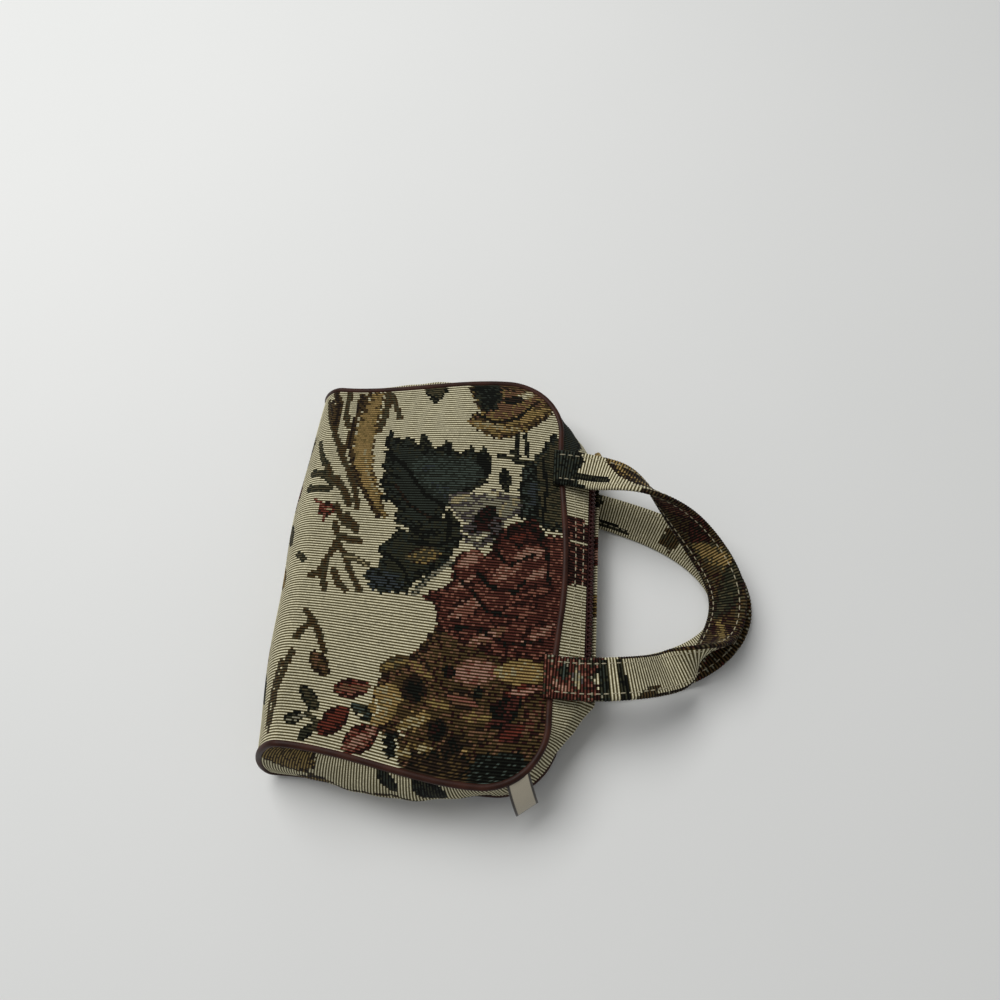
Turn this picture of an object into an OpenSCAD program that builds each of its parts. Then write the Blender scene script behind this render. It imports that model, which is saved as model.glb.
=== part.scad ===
// Tapestry toiletry bag with two strap handles, lying on its back.
// X runs from the base of the bag to its zip, Y across its width and Z up from its back.
// The origin is the middle of the back panel, on the surface that the bag lies on.

/* [Front panel] */
// Width of the front panel at its base
front_w_base = 188; // [170:1:206]
// Width of the front panel below its top corners
front_w_top = 212; // [200:1:224]
// Height of the front panel, base to top seam
front_h = 127; // [118:1:136]
// Height of the front seam above the table at the base
front_z_base = 46; // [40:1:54]
// Height of the front seam above the table at the top
front_z_top = 33; // [30:1:36]
// Rise of the front panel above its seam
crown = 5; // [2:0.5:8]

/* [Back panel] */
// Extra width of the back panel at its base, beyond the front's
back_more_base = 20; // [8:1:32]
// Extra width of the back panel below its top corners, beyond the front's
back_more_top = 2; // [-8:1:12]
// Extra height of the back panel, beyond the front's
back_more_h = 18; // [11:1:23]
// Height of the back seam above the table at the base
back_z_base = 5; // [4:0.5:7]
// Height of the back seam above the table at the top
back_z_top = 8; // [7:0.5:10]

/* [Shape] */
// Radius of the two top corners
corner_r = 30; // [24:1:36]
// Bow of the top seams between the corners
top_bow = 5; // [2:0.5:7]
// Set-in of the front panel's base from the back panel's base
base_lean = 14; // [8:1:18]
// Swell of the base at its ends
base_bulge = 8.5; // [5:0.5:12]
// Further swell in the middle of the base
base_crown = 3.5; // [0:0.5:6]
// Swell of the side gussets
side_bulge = 8.5; // [4:0.5:12]

/* [Cloth] */
// Thickness of the tapestry
cloth_t = 1.6; // [1.2:0.1:2]
// Thickness of the lining
lining_t = 0.5; // [0.3:0.1:0.8]
// Diameter of the piping
piping_d = 3.4; // [2.8:0.1:4]
// Room left between sewn layers
sewn_gap = 0.3; // [0.2:0.05:0.4]

/* [Zip] */
// Reach of the zip beyond the front panel's top seam
zip_out = 13; // [11:0.5:15]
// Height of the zip's middle above the table
zip_z = 22.5; // [20.5:0.5:23.5]
// Lean of the zip's face above level
zip_tilt = 33; // [24:1:42]
// Length of the zip's opening
zip_len = 128; // [112:2:132]
// Width of the zip's opening between the gusset's folded edges
zip_gap_w = 10.2; // [9.6:0.2:11]
// Thickness of the zip tape
tape_t = 0.7; // [0.5:0.1:0.9]
// Turn-in of each tape under the gusset
tape_lap = 3; // [2:0.5:3.5]
// Gap between the two tapes under the teeth
tape_split = 1.2; // [1.1:0.1:1.6]
// Width of the closed row of teeth
chain_w = 5; // [4.6:0.1:5.4]
// Height of the teeth above the tape
chain_t = 1.9; // [1.5:0.1:2.2]
// Pitch of the teeth along one tape
tooth_pitch = 2.4; // [2.2:0.1:3]
// Length of each end stop
stop_l = 2; // [1.4:0.1:2.4]

/* [Slider and pull] */
// Length of the slider
slider_l = 11.5; // [10.5:0.5:12.5]
// Thickness of the slider's plates
plate_t = 1.1; // [0.8:0.1:1.4]
// Running room around the teeth inside the slider
run_gap = 0.3; // [0.2:0.05:0.4]
// Width of the lug that carries the pull
lug_w = 2; // [1.6:0.1:2.4]
// Length of the pull beyond its hinge
pull_l = 16; // [13:1:18]
// Width of the pull's tab
pull_w = 6.6; // [6:0.2:7.2]
// Thickness of the pull and diameter of its hinge bar
pull_t = 1.3; // [1:0.1:1.5]

/* [Handles] */
// Width of the straps
strap_w = 20; // [17:0.5:22]
// Thickness of the straps
strap_t = 2.4; // [2:0.1:2.8]
// Distance between the two ends of the front handle
front_handle_gap = 110; // [98:1:118]
// Distance between the two ends of the back handle
back_handle_gap = 94; // [84:1:104]
// Reach of the front handle beyond the top seam
front_handle_reach = 87; // [76:1:96]
// Reach of the back handle beyond the top seam
back_handle_reach = 86; // [76:1:94]
// Lap of each strap end over the panel it is sewn to
strap_lap = 4; // [3:0.5:6]
// Sideways swing of the loops at their tips
handle_swing = -8; // [-14:1:14]
// Roll of the front strap at the tip of its loop
front_roll = 146; // [120:2:160]
// Roll of the back strap at the tip of its loop
back_roll = -15; // [-24:1:0]
// Height of the front strap's middle at the tip of its loop
front_tip_z = 14; // [12.5:0.5:18]

/* [Label] */
// Width of the sewn-in label
label_w = 12; // [9:0.5:14]
// Length of the sewn-in label that shows
label_l = 20; // [15:1:22]
// Thickness of the folded label
label_t = 0.6; // [0.4:0.1:0.9]
// Place of the label round the top corner, as an angle
label_angle = 55; // [45:1:62]
// Turn of the label from square to its seam
label_turn = 17; // [0:1:25]
// Droop of the label below level at its seam
label_droop_root = 35; // [20:1:50]
// Droop of the label below level at its free end
label_droop_tip = 75; // [55:1:85]

/* [Hidden] */
$fn = 48;

tapestry_colour = "#b9ae93";
piping_colour = "#4a2620";
tape_colour = "#5e2330";
metal_colour = "#a08a5c";
lining_colour = "#3a3230";
label_colour = "#ded6c4";

// The back panel's own sizes.
back_w_base = front_w_base + back_more_base;
back_w_top = front_w_top + back_more_top;
back_h = front_h + back_more_h;
// Each panel is [base width, top width, height, x of its base, base seam z, top seam z].
FRONT = [front_w_base, front_w_top, front_h, base_lean - back_h / 2, front_z_base, front_z_top];
BACK = [back_w_base, back_w_top, back_h, -back_h / 2, back_z_base, back_z_top];

// Faces that lie on each other are this far apart.
face_gap = 0.05;
// Panel edges and gusset edges stop this far from the middle of the piping.
seam_inset = piping_d / 2 + sewn_gap;
// The lining's edges stop further in.
lining_inset = seam_inset + cloth_t + lining_t;
// Depths of the lining's middle and of the zip tape's face below the middle of the tapestry.
lining_depth = cloth_t / 2 + 1.5 * sewn_gap + lining_t / 2;
tape_depth = cloth_t / 2 + sewn_gap;

// The zip's own axes: its middle, the way it faces and the way to its front edge.
zip_c = [FRONT[3] + front_h + zip_out, 0, zip_z];
zip_n = [cos(zip_tilt), 0, sin(zip_tilt)];
zip_u = [-sin(zip_tilt), 0, cos(zip_tilt)];
zip_front_edge = zip_c + zip_u * zip_gap_w / 2;
zip_back_edge = zip_c - zip_u * zip_gap_w / 2;
// Shares of the gusset's width at which the two edges of the zip opening lie.
share_front = (front_z_top - zip_front_edge[2]) / (front_z_top - back_z_top);
share_back = (front_z_top - zip_back_edge[2]) / (front_z_top - back_z_top);

function mix(a, b, t) = a + (b - a) * t;
function unit(v) = v / norm(v);
function clip(t) = min(1, max(0, t));
function ease(t) = let (c = clip(t)) c * c * (3 - 2 * c);
function mirror_y(v) = [v[0], -v[1], v[2]];
function steps(from, to, n) = [for (i = [0 : n]) mix(from, to, i / n)];

// Outline of a panel
// Distance from the base at which the side ends and the corner begins.
function shoulder(p) = p[2] - top_bow - corner_r;
// Half of the top seam between the corners.
function top_half(p) = p[1] / 2 - corner_r;
// Half width at a distance x from the base.
function half_w(p, x) = mix(p[0], p[1], ease(x / shoulder(p))) / 2;
// Distance of the top edge from the base at y, inset by e.
function top_at(p, y, e) = let (past = abs(y) - top_half(p), r = corner_r - e)
    past <= 0 ? p[2] - e - top_bow * (1 - cos(180 * y / top_half(p))) / 2
              : shoulder(p) + sqrt(max(0, r * r - past * past));
function seam_z(p, x) = mix(p[4], p[5], clip(x / (p[2] - top_bow)));

// The seam from a base corner (0) up the side (1), round the corner (2) to the middle of the top (3),
// and on the same way down the other side (6).
function half_seam(p, s) =
    s < 1 ? let (x = s * shoulder(p)) [p[3] + x, half_w(p, x), seam_z(p, x)] :
    s < 2 ? let (a = 90 * (s - 1), x = shoulder(p) + corner_r * sin(a))
            [p[3] + x, top_half(p) + corner_r * cos(a), seam_z(p, x)] :
            let (y = top_half(p) * (3 - s), x = top_at(p, y, 0)) [p[3] + x, y, seam_z(p, x)];
function seam(p, s) = s <= 3 ? half_seam(p, s) : mirror_y(half_seam(p, 6 - s));
function half_outward(s) =
    s < 1 ? [0, 1, 0] :
    s < 2 ? [sin(90 * (s - 1)), cos(90 * (s - 1)), 0] : [1, 0, 0];

// Front, base and back as one surface
// The front's crown falls away to the sides and to the top by these powers. The back is flat over
// this share of its half width and half height.
crown_side = 2.5;
crown_top = 6;
flat_share = 0.7;
// e is the inset from the seam, across runs from -1 to 1, down and up from 0 to 1.
function front_point(across, down, e) =
    let (
        x_top = top_at(FRONT, across * (FRONT[1] / 2 - e), e),
        x = x_top * (1 - down),
        lift = crown * (1 - pow(abs(across), crown_side)) * (1 - pow(x / x_top, crown_top))
    )
    [FRONT[3] + x, across * (half_w(FRONT, x) - e), seam_z(FRONT, x) + lift];
function edge_rise(t) = ease((t - flat_share) / (1 - flat_share));
function back_point(across, up, e) =
    let (
        x = top_at(BACK, across * (BACK[1] / 2 - e), e) * up,
        flat = (1 - edge_rise(abs(across))) * (1 - edge_rise(up)) * (1 - edge_rise(1 - up))
    )
    [BACK[3] + x, across * (half_w(BACK, x) - e), mix(seam_z(BACK, x), cloth_t / 2, flat)];
// The base is a half ellipse from the front's base edge to the back's.
function base_swell(across) = base_bulge + base_crown * (1 - across * across);
function base_point(across, turn, e) =
    mix(front_point(across, 1, e), back_point(across, 0, e), (1 - cos(turn)) / 2)
    - [base_swell(across) * sin(turn), 0, 0];

// Columns lie closer together at the sides, where the corners curve.
panel_columns = [for (c = steps(-90, 90, 20)) sin(c)];
// The base turns through base_turn from the front to the back, with these rows between.
base_turn = 180;
base_rows = 9;
function panel_grid(e) = concat(
    [for (d = steps(0, 1, 10)) [for (a = panel_columns) front_point(a, d, e)]],
    [for (i = [1 : base_rows]) [for (a = panel_columns) base_point(a, base_turn * i / (base_rows + 1), e)]],
    [for (u = steps(0, 1, 12)) [for (a = panel_columns) back_point(a, u, e)]]
);

// Gusset
// Swell of the gusset from the straight line between the two seams. On the sides it is a soft
// arch, and along the top it rises to the two edges of the zip opening.
function top_swell(s, t) =
    let (
        f = half_seam(FRONT, max(s, 2)),
        b = half_seam(BACK, max(s, 2)),
        d_front = zip_front_edge[0] - mix(f[0], b[0], share_front),
        d_back = zip_back_edge[0] - mix(f[0], b[0], share_back)
    )
    t < share_front ? d_front * t / share_front :
    t < share_back ? mix(d_front, d_back, (t - share_front) / (share_back - share_front)) :
    d_back * (1 - t) / (1 - share_back);
// The swell along the top dies away round the corners, and that of the base along the sides.
swell_end = 1.4;
base_reach = 0.45;
function top_share(s) = pow(clip((s - swell_end) / (slot_end - swell_end)), 3);
function side_swell(s, t) = s < 1 ? side_bulge * sin(180 * s) * 4 * t * (1 - t) : 0;
function half_gusset(s, t) =
    mix(half_seam(FRONT, s), half_seam(BACK, s), t)
    + half_outward(s) * mix(side_swell(s, t), top_swell(s, t), top_share(s))
    - [base_bulge * sqrt(max(0, 4 * t * (1 - t))) * pow(1 - clip(s / base_reach), 2), 0, 0];
function gusset_point(s, t) = s <= 3 ? half_gusset(s, t) : mirror_y(half_gusset(6 - s, t));

// Rows follow the seam, with one row at each end of the zip opening.
slot_end = 3 - zip_len / 2 / top_half(FRONT);
function gusset_rows(e) = let (
        first = e / shoulder(FRONT),
        side = steps(first, 1, 9),
        corner = steps(1, slot_end, 7),
        top = steps(slot_end, 3, 4),
        half = concat(side, [for (i = [1 : 6]) corner[i]], top)
    )
    concat(half, [for (i = [len(half) - 2 : -1 : 0]) 6 - half[i]]);
// Columns start and end at the inset e, and one lies on each edge of the zip opening.
function gusset_columns(e, s) =
    let (
        front_l = norm(gusset_point(s, share_front) - gusset_point(s, 0)),
        back_l = norm(gusset_point(s, 1) - gusset_point(s, share_back)),
        first = share_front * e / front_l,
        last = 1 - (1 - share_back) * e / back_l
    )
    concat(steps(first, share_front, 2), [(share_front + share_back) / 2], steps(share_back, last, 2));
function gusset_grid(e) =
    [for (s = gusset_rows(e)) [for (t = gusset_columns(e, s)) gusset_point(s, t)]];
// A row of cells lies beside the zip if it is between the two ends of the zip opening.
function beside_zip(i) = let (s = gusset_rows(seam_inset), in = 0.001)
    s[i] > slot_end - in && s[i + 1] < 6 - slot_end + in;
// The tapestry reaches the zip's edges and the lining stops half way to them.
function is_cloth(i, j) = j < 2 || j > 3 || !beside_zip(i);
function is_lining(i, j) = j < 1 || j > 4 || !beside_zip(i);

// Sheets
// Unit normals of a grid of points, by the differences along its rows and columns.
function grid_normals(g) = let (m = len(g) - 1, n = len(g[0]) - 1)
    [for (i = [0 : m]) [for (j = [0 : n])
        unit(cross(
            g[min(i + 1, m)][j] - g[max(i - 1, 0)][j],
            g[i][min(j + 1, n)] - g[i][max(j - 1, 0)]
        ))]];
function offset_grid(g, d) = let (normals = grid_normals(g))
    [for (i = [0 : len(g) - 1]) [for (j = [0 : len(g[0]) - 1]) g[i][j] + normals[i][j] * d]];
function quad(a, b, c, d) = [[a, b, c], [a, c, d]];

// A closed sheet between two grids of points, without the cells that keep leaves out.
module sheet(upper, lower, keep = function(i, j) true) {
    m = len(upper) - 1;
    n = len(upper[0]) - 1;
    count = (m + 1) * (n + 1);
    held = function(i, j) i >= 0 && j >= 0 && i < m && j < n && keep(i, j);
    at = function(i, j, layer) layer * count + i * (n + 1) + j;
    polyhedron(
        points = concat([for (row = upper) each row], [for (row = lower) each row]),
        faces = [for (i = [0 : m - 1], j = [0 : n - 1]) if (held(i, j))
            let (
                a = at(i, j, 0), b = at(i, j + 1, 0), c = at(i + 1, j + 1, 0), d = at(i + 1, j, 0),
                e = a + count, f = b + count, g = c + count, h = d + count
            )
            each concat(
                quad(a, b, c, d),
                quad(e, h, g, f),
                held(i - 1, j) ? [] : quad(b, a, e, f),
                held(i + 1, j) ? [] : quad(d, c, g, h),
                held(i, j - 1) ? [] : quad(a, d, h, e),
                held(i, j + 1) ? [] : quad(c, b, f, g)
            )],
        convexity = 6
    );
}

// A solid through rings of points, closed on itself or with flat ends.
module skin(rings, closed = false) {
    m = len(rings);
    n = len(rings[0]);
    at = function(i, j) (i % m) * n + j % n;
    polyhedron(
        points = [for (ring = rings) each ring],
        faces = concat(
            [for (i = [0 : m - (closed ? 1 : 2)], j = [0 : n - 1])
                each quad(at(i, j), at(i + 1, j), at(i + 1, j + 1), at(i, j + 1))],
            closed ? [] : [[for (j = [0 : n - 1]) at(0, j)], [for (j = [n - 1 : -1 : 0]) at(m - 1, j)]]
        ),
        convexity = 6
    );
}

module body_panel() color(tapestry_colour) {
    middle = panel_grid(seam_inset);
    sheet(offset_grid(middle, cloth_t / 2), offset_grid(middle, -cloth_t / 2));
}

module gusset() color(tapestry_colour) {
    middle = gusset_grid(seam_inset);
    sheet(offset_grid(middle, cloth_t / 2), offset_grid(middle, -cloth_t / 2),
        function(i, j) is_cloth(i, j));
}

// The lining has the same shape a little further in, with the zip opening left free.
module lining() color(lining_colour) {
    near = lining_depth - lining_t / 2;
    far = lining_depth + lining_t / 2;
    panel = panel_grid(lining_inset);
    sheet(offset_grid(panel, far), offset_grid(panel, near));
    strip = gusset_grid(lining_inset);
    sheet(offset_grid(strip, -near), offset_grid(strip, -far), function(i, j) is_lining(i, j));
}

// Piping
// The loop runs along the front seam, round one end of the base, along the back seam and round the
// other end of the base.
base_end_rows = 11;
function base_end(side, i) = base_point(side, base_turn * i / (base_end_rows + 1), 0);
half_steps = concat(steps(0, 1, 10), steps(1.12, 2, 8), steps(2.14, 3, 6));
seam_steps = concat(half_steps, [for (i = [len(half_steps) - 2 : -1 : 0]) 6 - half_steps[i]]);
piping_path = concat(
    [for (s = seam_steps) seam(FRONT, s)],
    [for (i = [1 : base_end_rows]) base_end(-1, i)],
    [for (i = [len(seam_steps) - 1 : -1 : 0]) seam(BACK, seam_steps[i])],
    [for (i = [base_end_rows : -1 : 1]) base_end(1, i)]
);
module piping() color(piping_colour) {
    count = len(piping_path);
    sides = 8;
    skin([for (i = [0 : count - 1])
        let (
            ahead = unit(piping_path[(i + 1) % count] - piping_path[(i + count - 1) % count]),
            // The bag's middle gives each ring an inner side, so that the rings don't twist.
            inward = [0, 0, (front_z_base + back_z_base) / 2] - piping_path[i],
            a = unit(inward - ahead * (inward * ahead)),
            b = cross(ahead, a)
        )
        [for (k = [0 : sides - 1]) let (turn = 360 * k / sides)
            piping_path[i] + (a * cos(turn) + b * sin(turn)) * piping_d / 2]
    ], closed = true);
}

// Zip
// Places a shape on the zip at y: its X faces out, its Y runs along the zip, its Z to the front edge.
module on_zip(y) translate([zip_c[0], y, zip_c[2]]) rotate([0, -zip_tilt, 0]) children();
// Extrudes a flat shape, drawn along and across the zip, outwards from a height.
module rise(from, to) translate([from, 0, 0]) rotate([90, 0, 90]) linear_extrude(to - from) children();

// A tape lies flat under the teeth and turns in under the gusset's folded edge.
function tape_section(side, y, depth) =
    let (
        s = 3 - abs(y) / top_half(FRONT),
        edge = side > 0 ? zip_front_edge : zip_back_edge,
        far = half_seam(side > 0 ? FRONT : BACK, s),
        slope = unit([far[0] - edge[0], 0, far[2] - edge[2]]),
        face = unit([slope[2], 0, -slope[0]] * side),
        fold = edge - (zip_n + face) * depth / (1 + zip_n * face)
    )
    [for (p = [
        zip_c + zip_u * side * tape_split / 2 - zip_n * depth,
        fold,
        fold + slope * tape_lap
    ]) [p[0], y, p[2]]];
module zip_tape(side) color(tape_colour) {
    rows = steps(sewn_gap - zip_len / 2, zip_len / 2 - sewn_gap, 12);
    outer = [for (y = rows) tape_section(side, y, tape_depth)];
    inner = [for (y = rows) tape_section(side, y, tape_depth + tape_t)];
    if (side > 0) sheet(outer, inner);
    else sheet(inner, outer);
}
module zip_tape_front() zip_tape(1);
module zip_tape_back() zip_tape(-1);

// Heights on the zip, outwards from the middle of the gusset's cloth.
chain_low = face_gap - tape_depth;
chain_high = chain_low + chain_t;
plate_low = chain_high + run_gap;
plate_top = plate_low + plate_t;
under_high = -tape_depth - tape_t - run_gap;
under_low = under_high - plate_t;

// Places along the zip. The stops stand clear of the gusset at the ends of the opening.
stop_y = zip_len / 2 - cloth_t / 2 - stop_l;
slider_y = stop_y - slider_l / 2 - run_gap;
neck_back = slider_l * 0.14;
neck_front = slider_l * 0.44;
neck_mid = (neck_back + neck_front) / 2;
neck_half = (tape_split - run_gap) / 2;
teeth_end = slider_y + neck_back - run_gap;
teeth_start = -stop_y + run_gap;
slider_travel = slider_y - (teeth_start + slider_l / 2 + run_gap);

// One row of teeth: a strip along the tape with teeth that reach past the middle of the zip.
tooth_root = chain_w * 0.2;
tooth_tip = chain_w * 0.14;
tooth_taper = run_gap / 2;
first_tooth = run_gap / 3;
module teeth(side, first) {
    tooth_w = tooth_pitch / 2 - run_gap / 2;
    count = floor((teeth_end - teeth_start - first - tooth_w) / tooth_pitch);
    on_zip(0) rise(chain_low, chain_high) polygon([for (p = concat(
        [[teeth_start, chain_w / 2], [teeth_start, tooth_root]],
        [for (k = [0 : count]) let (y = teeth_start + first + tooth_w / 2 + k * tooth_pitch) each [
            [y - tooth_w / 2, tooth_root], [y - tooth_w / 2 + tooth_taper, -tooth_tip],
            [y + tooth_w / 2 - tooth_taper, -tooth_tip], [y + tooth_w / 2, tooth_root]
        ]],
        [[teeth_end, tooth_root], [teeth_end, chain_w / 2]]
    )) [p[0], side * p[1]]]);
}
module zip_teeth_front() color(tape_colour) teeth(1, first_tooth);
module zip_teeth_back() color(tape_colour) teeth(-1, first_tooth + tooth_pitch / 2);

// Stops: a small clamp on each tape at the closed end and a wider one across both at the other.
stop_high = chain_high - run_gap / 2;
top_stop_w = chain_w * 0.4;
module zip_top_stops() color(metal_colour)
    on_zip(0) for (side = [-1, 1])
        rise(chain_low, stop_high)
            translate([stop_y, side * (chain_w + tape_split) / 4 - top_stop_w / 2])
                square([stop_l, top_stop_w]);
module zip_bottom_stop() color(metal_colour)
    on_zip(0) rise(chain_low, stop_high)
        translate([-stop_y - stop_l, -chain_w / 2]) square([stop_l, chain_w]);

// Slider: two shield-shaped plates held apart by a neck at the nose, with a flange down each side of
// the upper plate and a lug on top for the pull.
channel_w = chain_w / 2 + run_gap;
flange_w = 0.8;
flange_back = slider_l * 0.42;
flange_l = slider_l * 0.52;
tail = 0.82;
half_shield = [[-0.5, 0.72], [-0.42, tail], [0.1, 0.86], [0.34, 1], [0.44, 0.94], [0.5, 0.7]];
module shield(half) polygon(concat(
    [for (p = half_shield) [p[0] * slider_l, p[1] * half]],
    [for (i = [len(half_shield) - 1 : -1 : 0]) [half_shield[i][0] * slider_l, -half_shield[i][1] * half]]
));
slider_half = (channel_w + flange_w) / tail;
under_half = channel_w + flange_w / 2;
lug_l = slider_l * 0.46;
lug_wall = 0.8;
lug_rise = pull_t + 2 * run_gap;
hinge_x = plate_top + run_gap + pull_t / 2;
hinge_y = slider_y - slider_l * 0.06;
module zip_slider() color(metal_colour) on_zip(slider_y) {
    rise(plate_low, plate_top) shield(slider_half);
    rise(under_low, under_high) shield(under_half);
    for (side = [-1, 1])
        rise(-tape_depth + run_gap, plate_low + plate_t / 2)
            translate([-flange_back, side * (channel_w + flange_w / 2) - flange_w / 2])
                square([flange_l, flange_w]);
    rise(under_low + plate_t / 2, plate_low + plate_t / 2)
        polygon([[neck_back, 0], [neck_mid, neck_half], [neck_front, 0], [neck_mid, -neck_half]]);
    // The lug is an arch along the slider with a window that the hinge bar lies in.
    translate([0, hinge_y - slider_y, -lug_w / 2]) linear_extrude(lug_w) difference() {
        translate([plate_top - plate_t / 2, -lug_l / 2]) square([plate_t / 2 + lug_rise + lug_wall, lug_l]);
        translate([plate_top, lug_wall - lug_l / 2]) square([lug_rise, lug_l - 2 * lug_wall]);
    }
}

// Pull: a flat tab with an eye, whose end bar hangs in the lug's window. It lies towards the closed
// end of the zip.
eye_w = lug_w + 4 * run_gap;
eye_l = lug_l / 2 + 3 * run_gap;
pull_hole_d = pull_w * 0.4;
module zip_pull() color(metal_colour) on_zip(hinge_y) translate([hinge_x, 0, 0]) {
    translate([0, 0, -pull_w / 2]) cylinder(d = pull_t, h = pull_w);
    rise(-pull_t / 2, pull_t / 2) difference() {
        union() {
            translate([0, -pull_w / 2]) square([pull_l - pull_w / 2, pull_w]);
            translate([pull_l - pull_w / 2, 0]) circle(d = pull_w);
        }
        translate([-pull_t, -eye_w / 2]) square([eye_l + pull_t, eye_w]);
        translate([pull_l - pull_w / 2, 0]) circle(d = pull_hole_d);
    }
}

// Handles
// Each handle is a strap along half an ellipse that starts and ends at the top seam. Its two ends
// lap the panel. angle runs from 0 to 180, and on the laps it runs on by lap_angle at each end.
// A handle is [gap, reach, panel, seat z, roll at the tip].
seat = piping_d / 2 + sewn_gap + strap_t / 2;
FRONT_HANDLE = [front_handle_gap, front_handle_reach, FRONT, front_z_top + seat + sewn_gap, front_roll];
BACK_HANDLE = [back_handle_gap, back_handle_reach, BACK, back_z_top - seat - sewn_gap, back_roll];
// The straps begin to roll at these shares of their reach, on the far leg and on the near leg.
roll_from_far = 0.15;
roll_from_near = 0.6;
function handle_roll(h, angle) = let (from = angle < 90 ? roll_from_far : roll_from_near)
    angle <= 0 || angle >= 180 ? 0 : h[4] * ease((sin(angle) - from) / (1 - from));
// A strap is raised by its own roll. The front one droops to its tip from a share of its reach, and
// the back one comes down to the table soon after its ends.
droop_from = 0.3;
rest_from = 0.05;
rest_by = 0.45;
function roll_rise(roll) = abs(sin(roll)) * strap_w / 2;
function handle_z(h, angle) =
    let (
        out = sin(clip(angle / 180) * 180),
        low = h[2] == FRONT ? front_tip_z - roll_rise(front_roll) : strap_t / 2 + face_gap,
        from = h[2] == FRONT ? droop_from : rest_from,
        to = h[2] == FRONT ? 1 : rest_by
    )
    mix(h[3], low, ease((out - from) / (to - from))) + roll_rise(handle_roll(h, angle));
lap_angle = 10;
look = 2;
function handle_start(h) = h[2][3] + top_at(h[2], h[0] / 2, 0);
function handle_point(h, angle) =
    let (
        a = min(180, max(0, angle)),
        lap = strap_lap * abs(angle - a) / lap_angle
    )
    [
        handle_start(h) - lap + h[1] * sin(a),
        h[0] / 2 * cos(a) + handle_swing * sin(a),
        handle_z(h, a)
    ];
handle_angles = concat(
    steps(-lap_angle, -lap_angle / 2, 1), steps(0, 180, 44), steps(180 + lap_angle / 2, 180 + lap_angle, 1)
);
// The strap's edges are folded, so its section is a flat six-sided bar.
strap_section = [
    [strap_w / 2, 0], [strap_w / 2 - strap_t / 2, strap_t / 2], [strap_t / 2 - strap_w / 2, strap_t / 2],
    [-strap_w / 2, 0], [strap_t / 2 - strap_w / 2, -strap_t / 2], [strap_w / 2 - strap_t / 2, -strap_t / 2]
];
module handle(h) color(tapestry_colour) skin([for (angle = handle_angles)
    let (
        ahead = unit(handle_point(h, angle + look) - handle_point(h, angle - look)),
        outward = unit(cross([0, 0, 1], ahead)),
        upward = cross(ahead, outward),
        roll = handle_roll(h, angle),
        wide = outward * cos(roll) - upward * sin(roll),
        thick = upward * cos(roll) + outward * sin(roll)
    )
    [for (p = strap_section) handle_point(h, angle) + wide * p[0] + thick * p[1]]
]);
module handle_front() handle(FRONT_HANDLE);
module handle_back() handle(BACK_HANDLE);

// Label: a folded ribbon sewn into the front seam at a top corner, drooping outwards.
label_seam = mirror_y(half_seam(FRONT, 2 - label_angle / 90));
label_out = mirror_y(half_outward(2 - label_angle / 90));
label_way = mirror_y(half_outward(2 - (label_angle + label_turn) / 90));
label_along = cross([0, 0, 1], label_out);
label_steps = 8;
function label_droop(i) = mix(label_droop_root, label_droop_tip, i / label_steps);
function label_step(i) = label_way * cos(label_droop(i)) - [0, 0, sin(label_droop(i))];
function label_rail(i) =
    i == 0 ? label_seam + label_out * (piping_d / 2 + sewn_gap)
           : label_rail(i - 1) + label_step(i) * label_l / label_steps;
module side_label() color(label_colour) {
    middle = [for (i = [0 : label_steps]) [for (side = [-1, 1])
        label_rail(i) + label_along * side * label_w / 2]];
    sheet(offset_grid(middle, label_t / 2), offset_grid(middle, -label_t / 2));
}

body_panel();
gusset();
lining();
piping();
zip_tape_front();
zip_tape_back();
zip_teeth_front();
zip_teeth_back();
zip_top_stops();
zip_bottom_stop();
zip_slider();
zip_pull();
handle_front();
handle_back();
side_label();
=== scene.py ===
# %% [markdown]
# # A tapestry toiletry bag
# The bag lies on its back with its zip to the right. A CAD model already fixes every size, so this lesson
# only dresses it: each soft solid gives way to a surface of stitched cells that follows the same formulas.
# Lengths in the formulas are millimetres, because cloth, thread and seams are easiest to think of that way.

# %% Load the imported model
import bpy
import bmesh
import numpy as np
from mathutils import Matrix, Vector


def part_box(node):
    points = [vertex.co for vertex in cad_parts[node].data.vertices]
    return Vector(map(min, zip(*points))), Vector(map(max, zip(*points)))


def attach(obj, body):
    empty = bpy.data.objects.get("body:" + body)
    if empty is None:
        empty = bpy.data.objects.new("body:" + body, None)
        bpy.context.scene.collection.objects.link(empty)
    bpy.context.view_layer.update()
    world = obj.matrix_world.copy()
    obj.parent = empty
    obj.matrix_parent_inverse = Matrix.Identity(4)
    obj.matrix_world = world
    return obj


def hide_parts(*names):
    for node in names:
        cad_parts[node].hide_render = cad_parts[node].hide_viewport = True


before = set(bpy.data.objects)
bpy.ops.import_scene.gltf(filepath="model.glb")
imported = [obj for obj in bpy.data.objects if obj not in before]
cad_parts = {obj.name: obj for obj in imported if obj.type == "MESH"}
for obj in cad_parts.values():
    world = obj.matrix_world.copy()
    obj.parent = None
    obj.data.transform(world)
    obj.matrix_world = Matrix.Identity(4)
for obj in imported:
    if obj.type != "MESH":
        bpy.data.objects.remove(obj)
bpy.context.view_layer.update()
scene = bpy.context.scene
scene.view_settings.view_transform = "Standard"
MM = 0.001

# %% [markdown]
# ## Camera
# The camera looks down at the bag from its near side. Its place could be tried by hand, but a view is found
# once from the bag's known corners and then written as one matrix: right, up, backwards and position.

# %% Camera
camera = bpy.data.objects.new("camera", bpy.data.cameras.new("camera"))
camera.data.lens, camera.data.sensor_width = 27, 36
camera.matrix_world = Matrix((
    (0.99381, -0.03214, 0.10630, 0.07499),
    (0.07294, 0.91073, -0.40651, -0.12465),
    (-0.08375, 0.41175, 0.90744, 0.39262),
    (0, 0, 0, 1),
))
scene.collection.objects.link(camera)
scene.camera = camera
print("camera height in mm:", round(camera.matrix_world.translation.z / MM))

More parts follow.
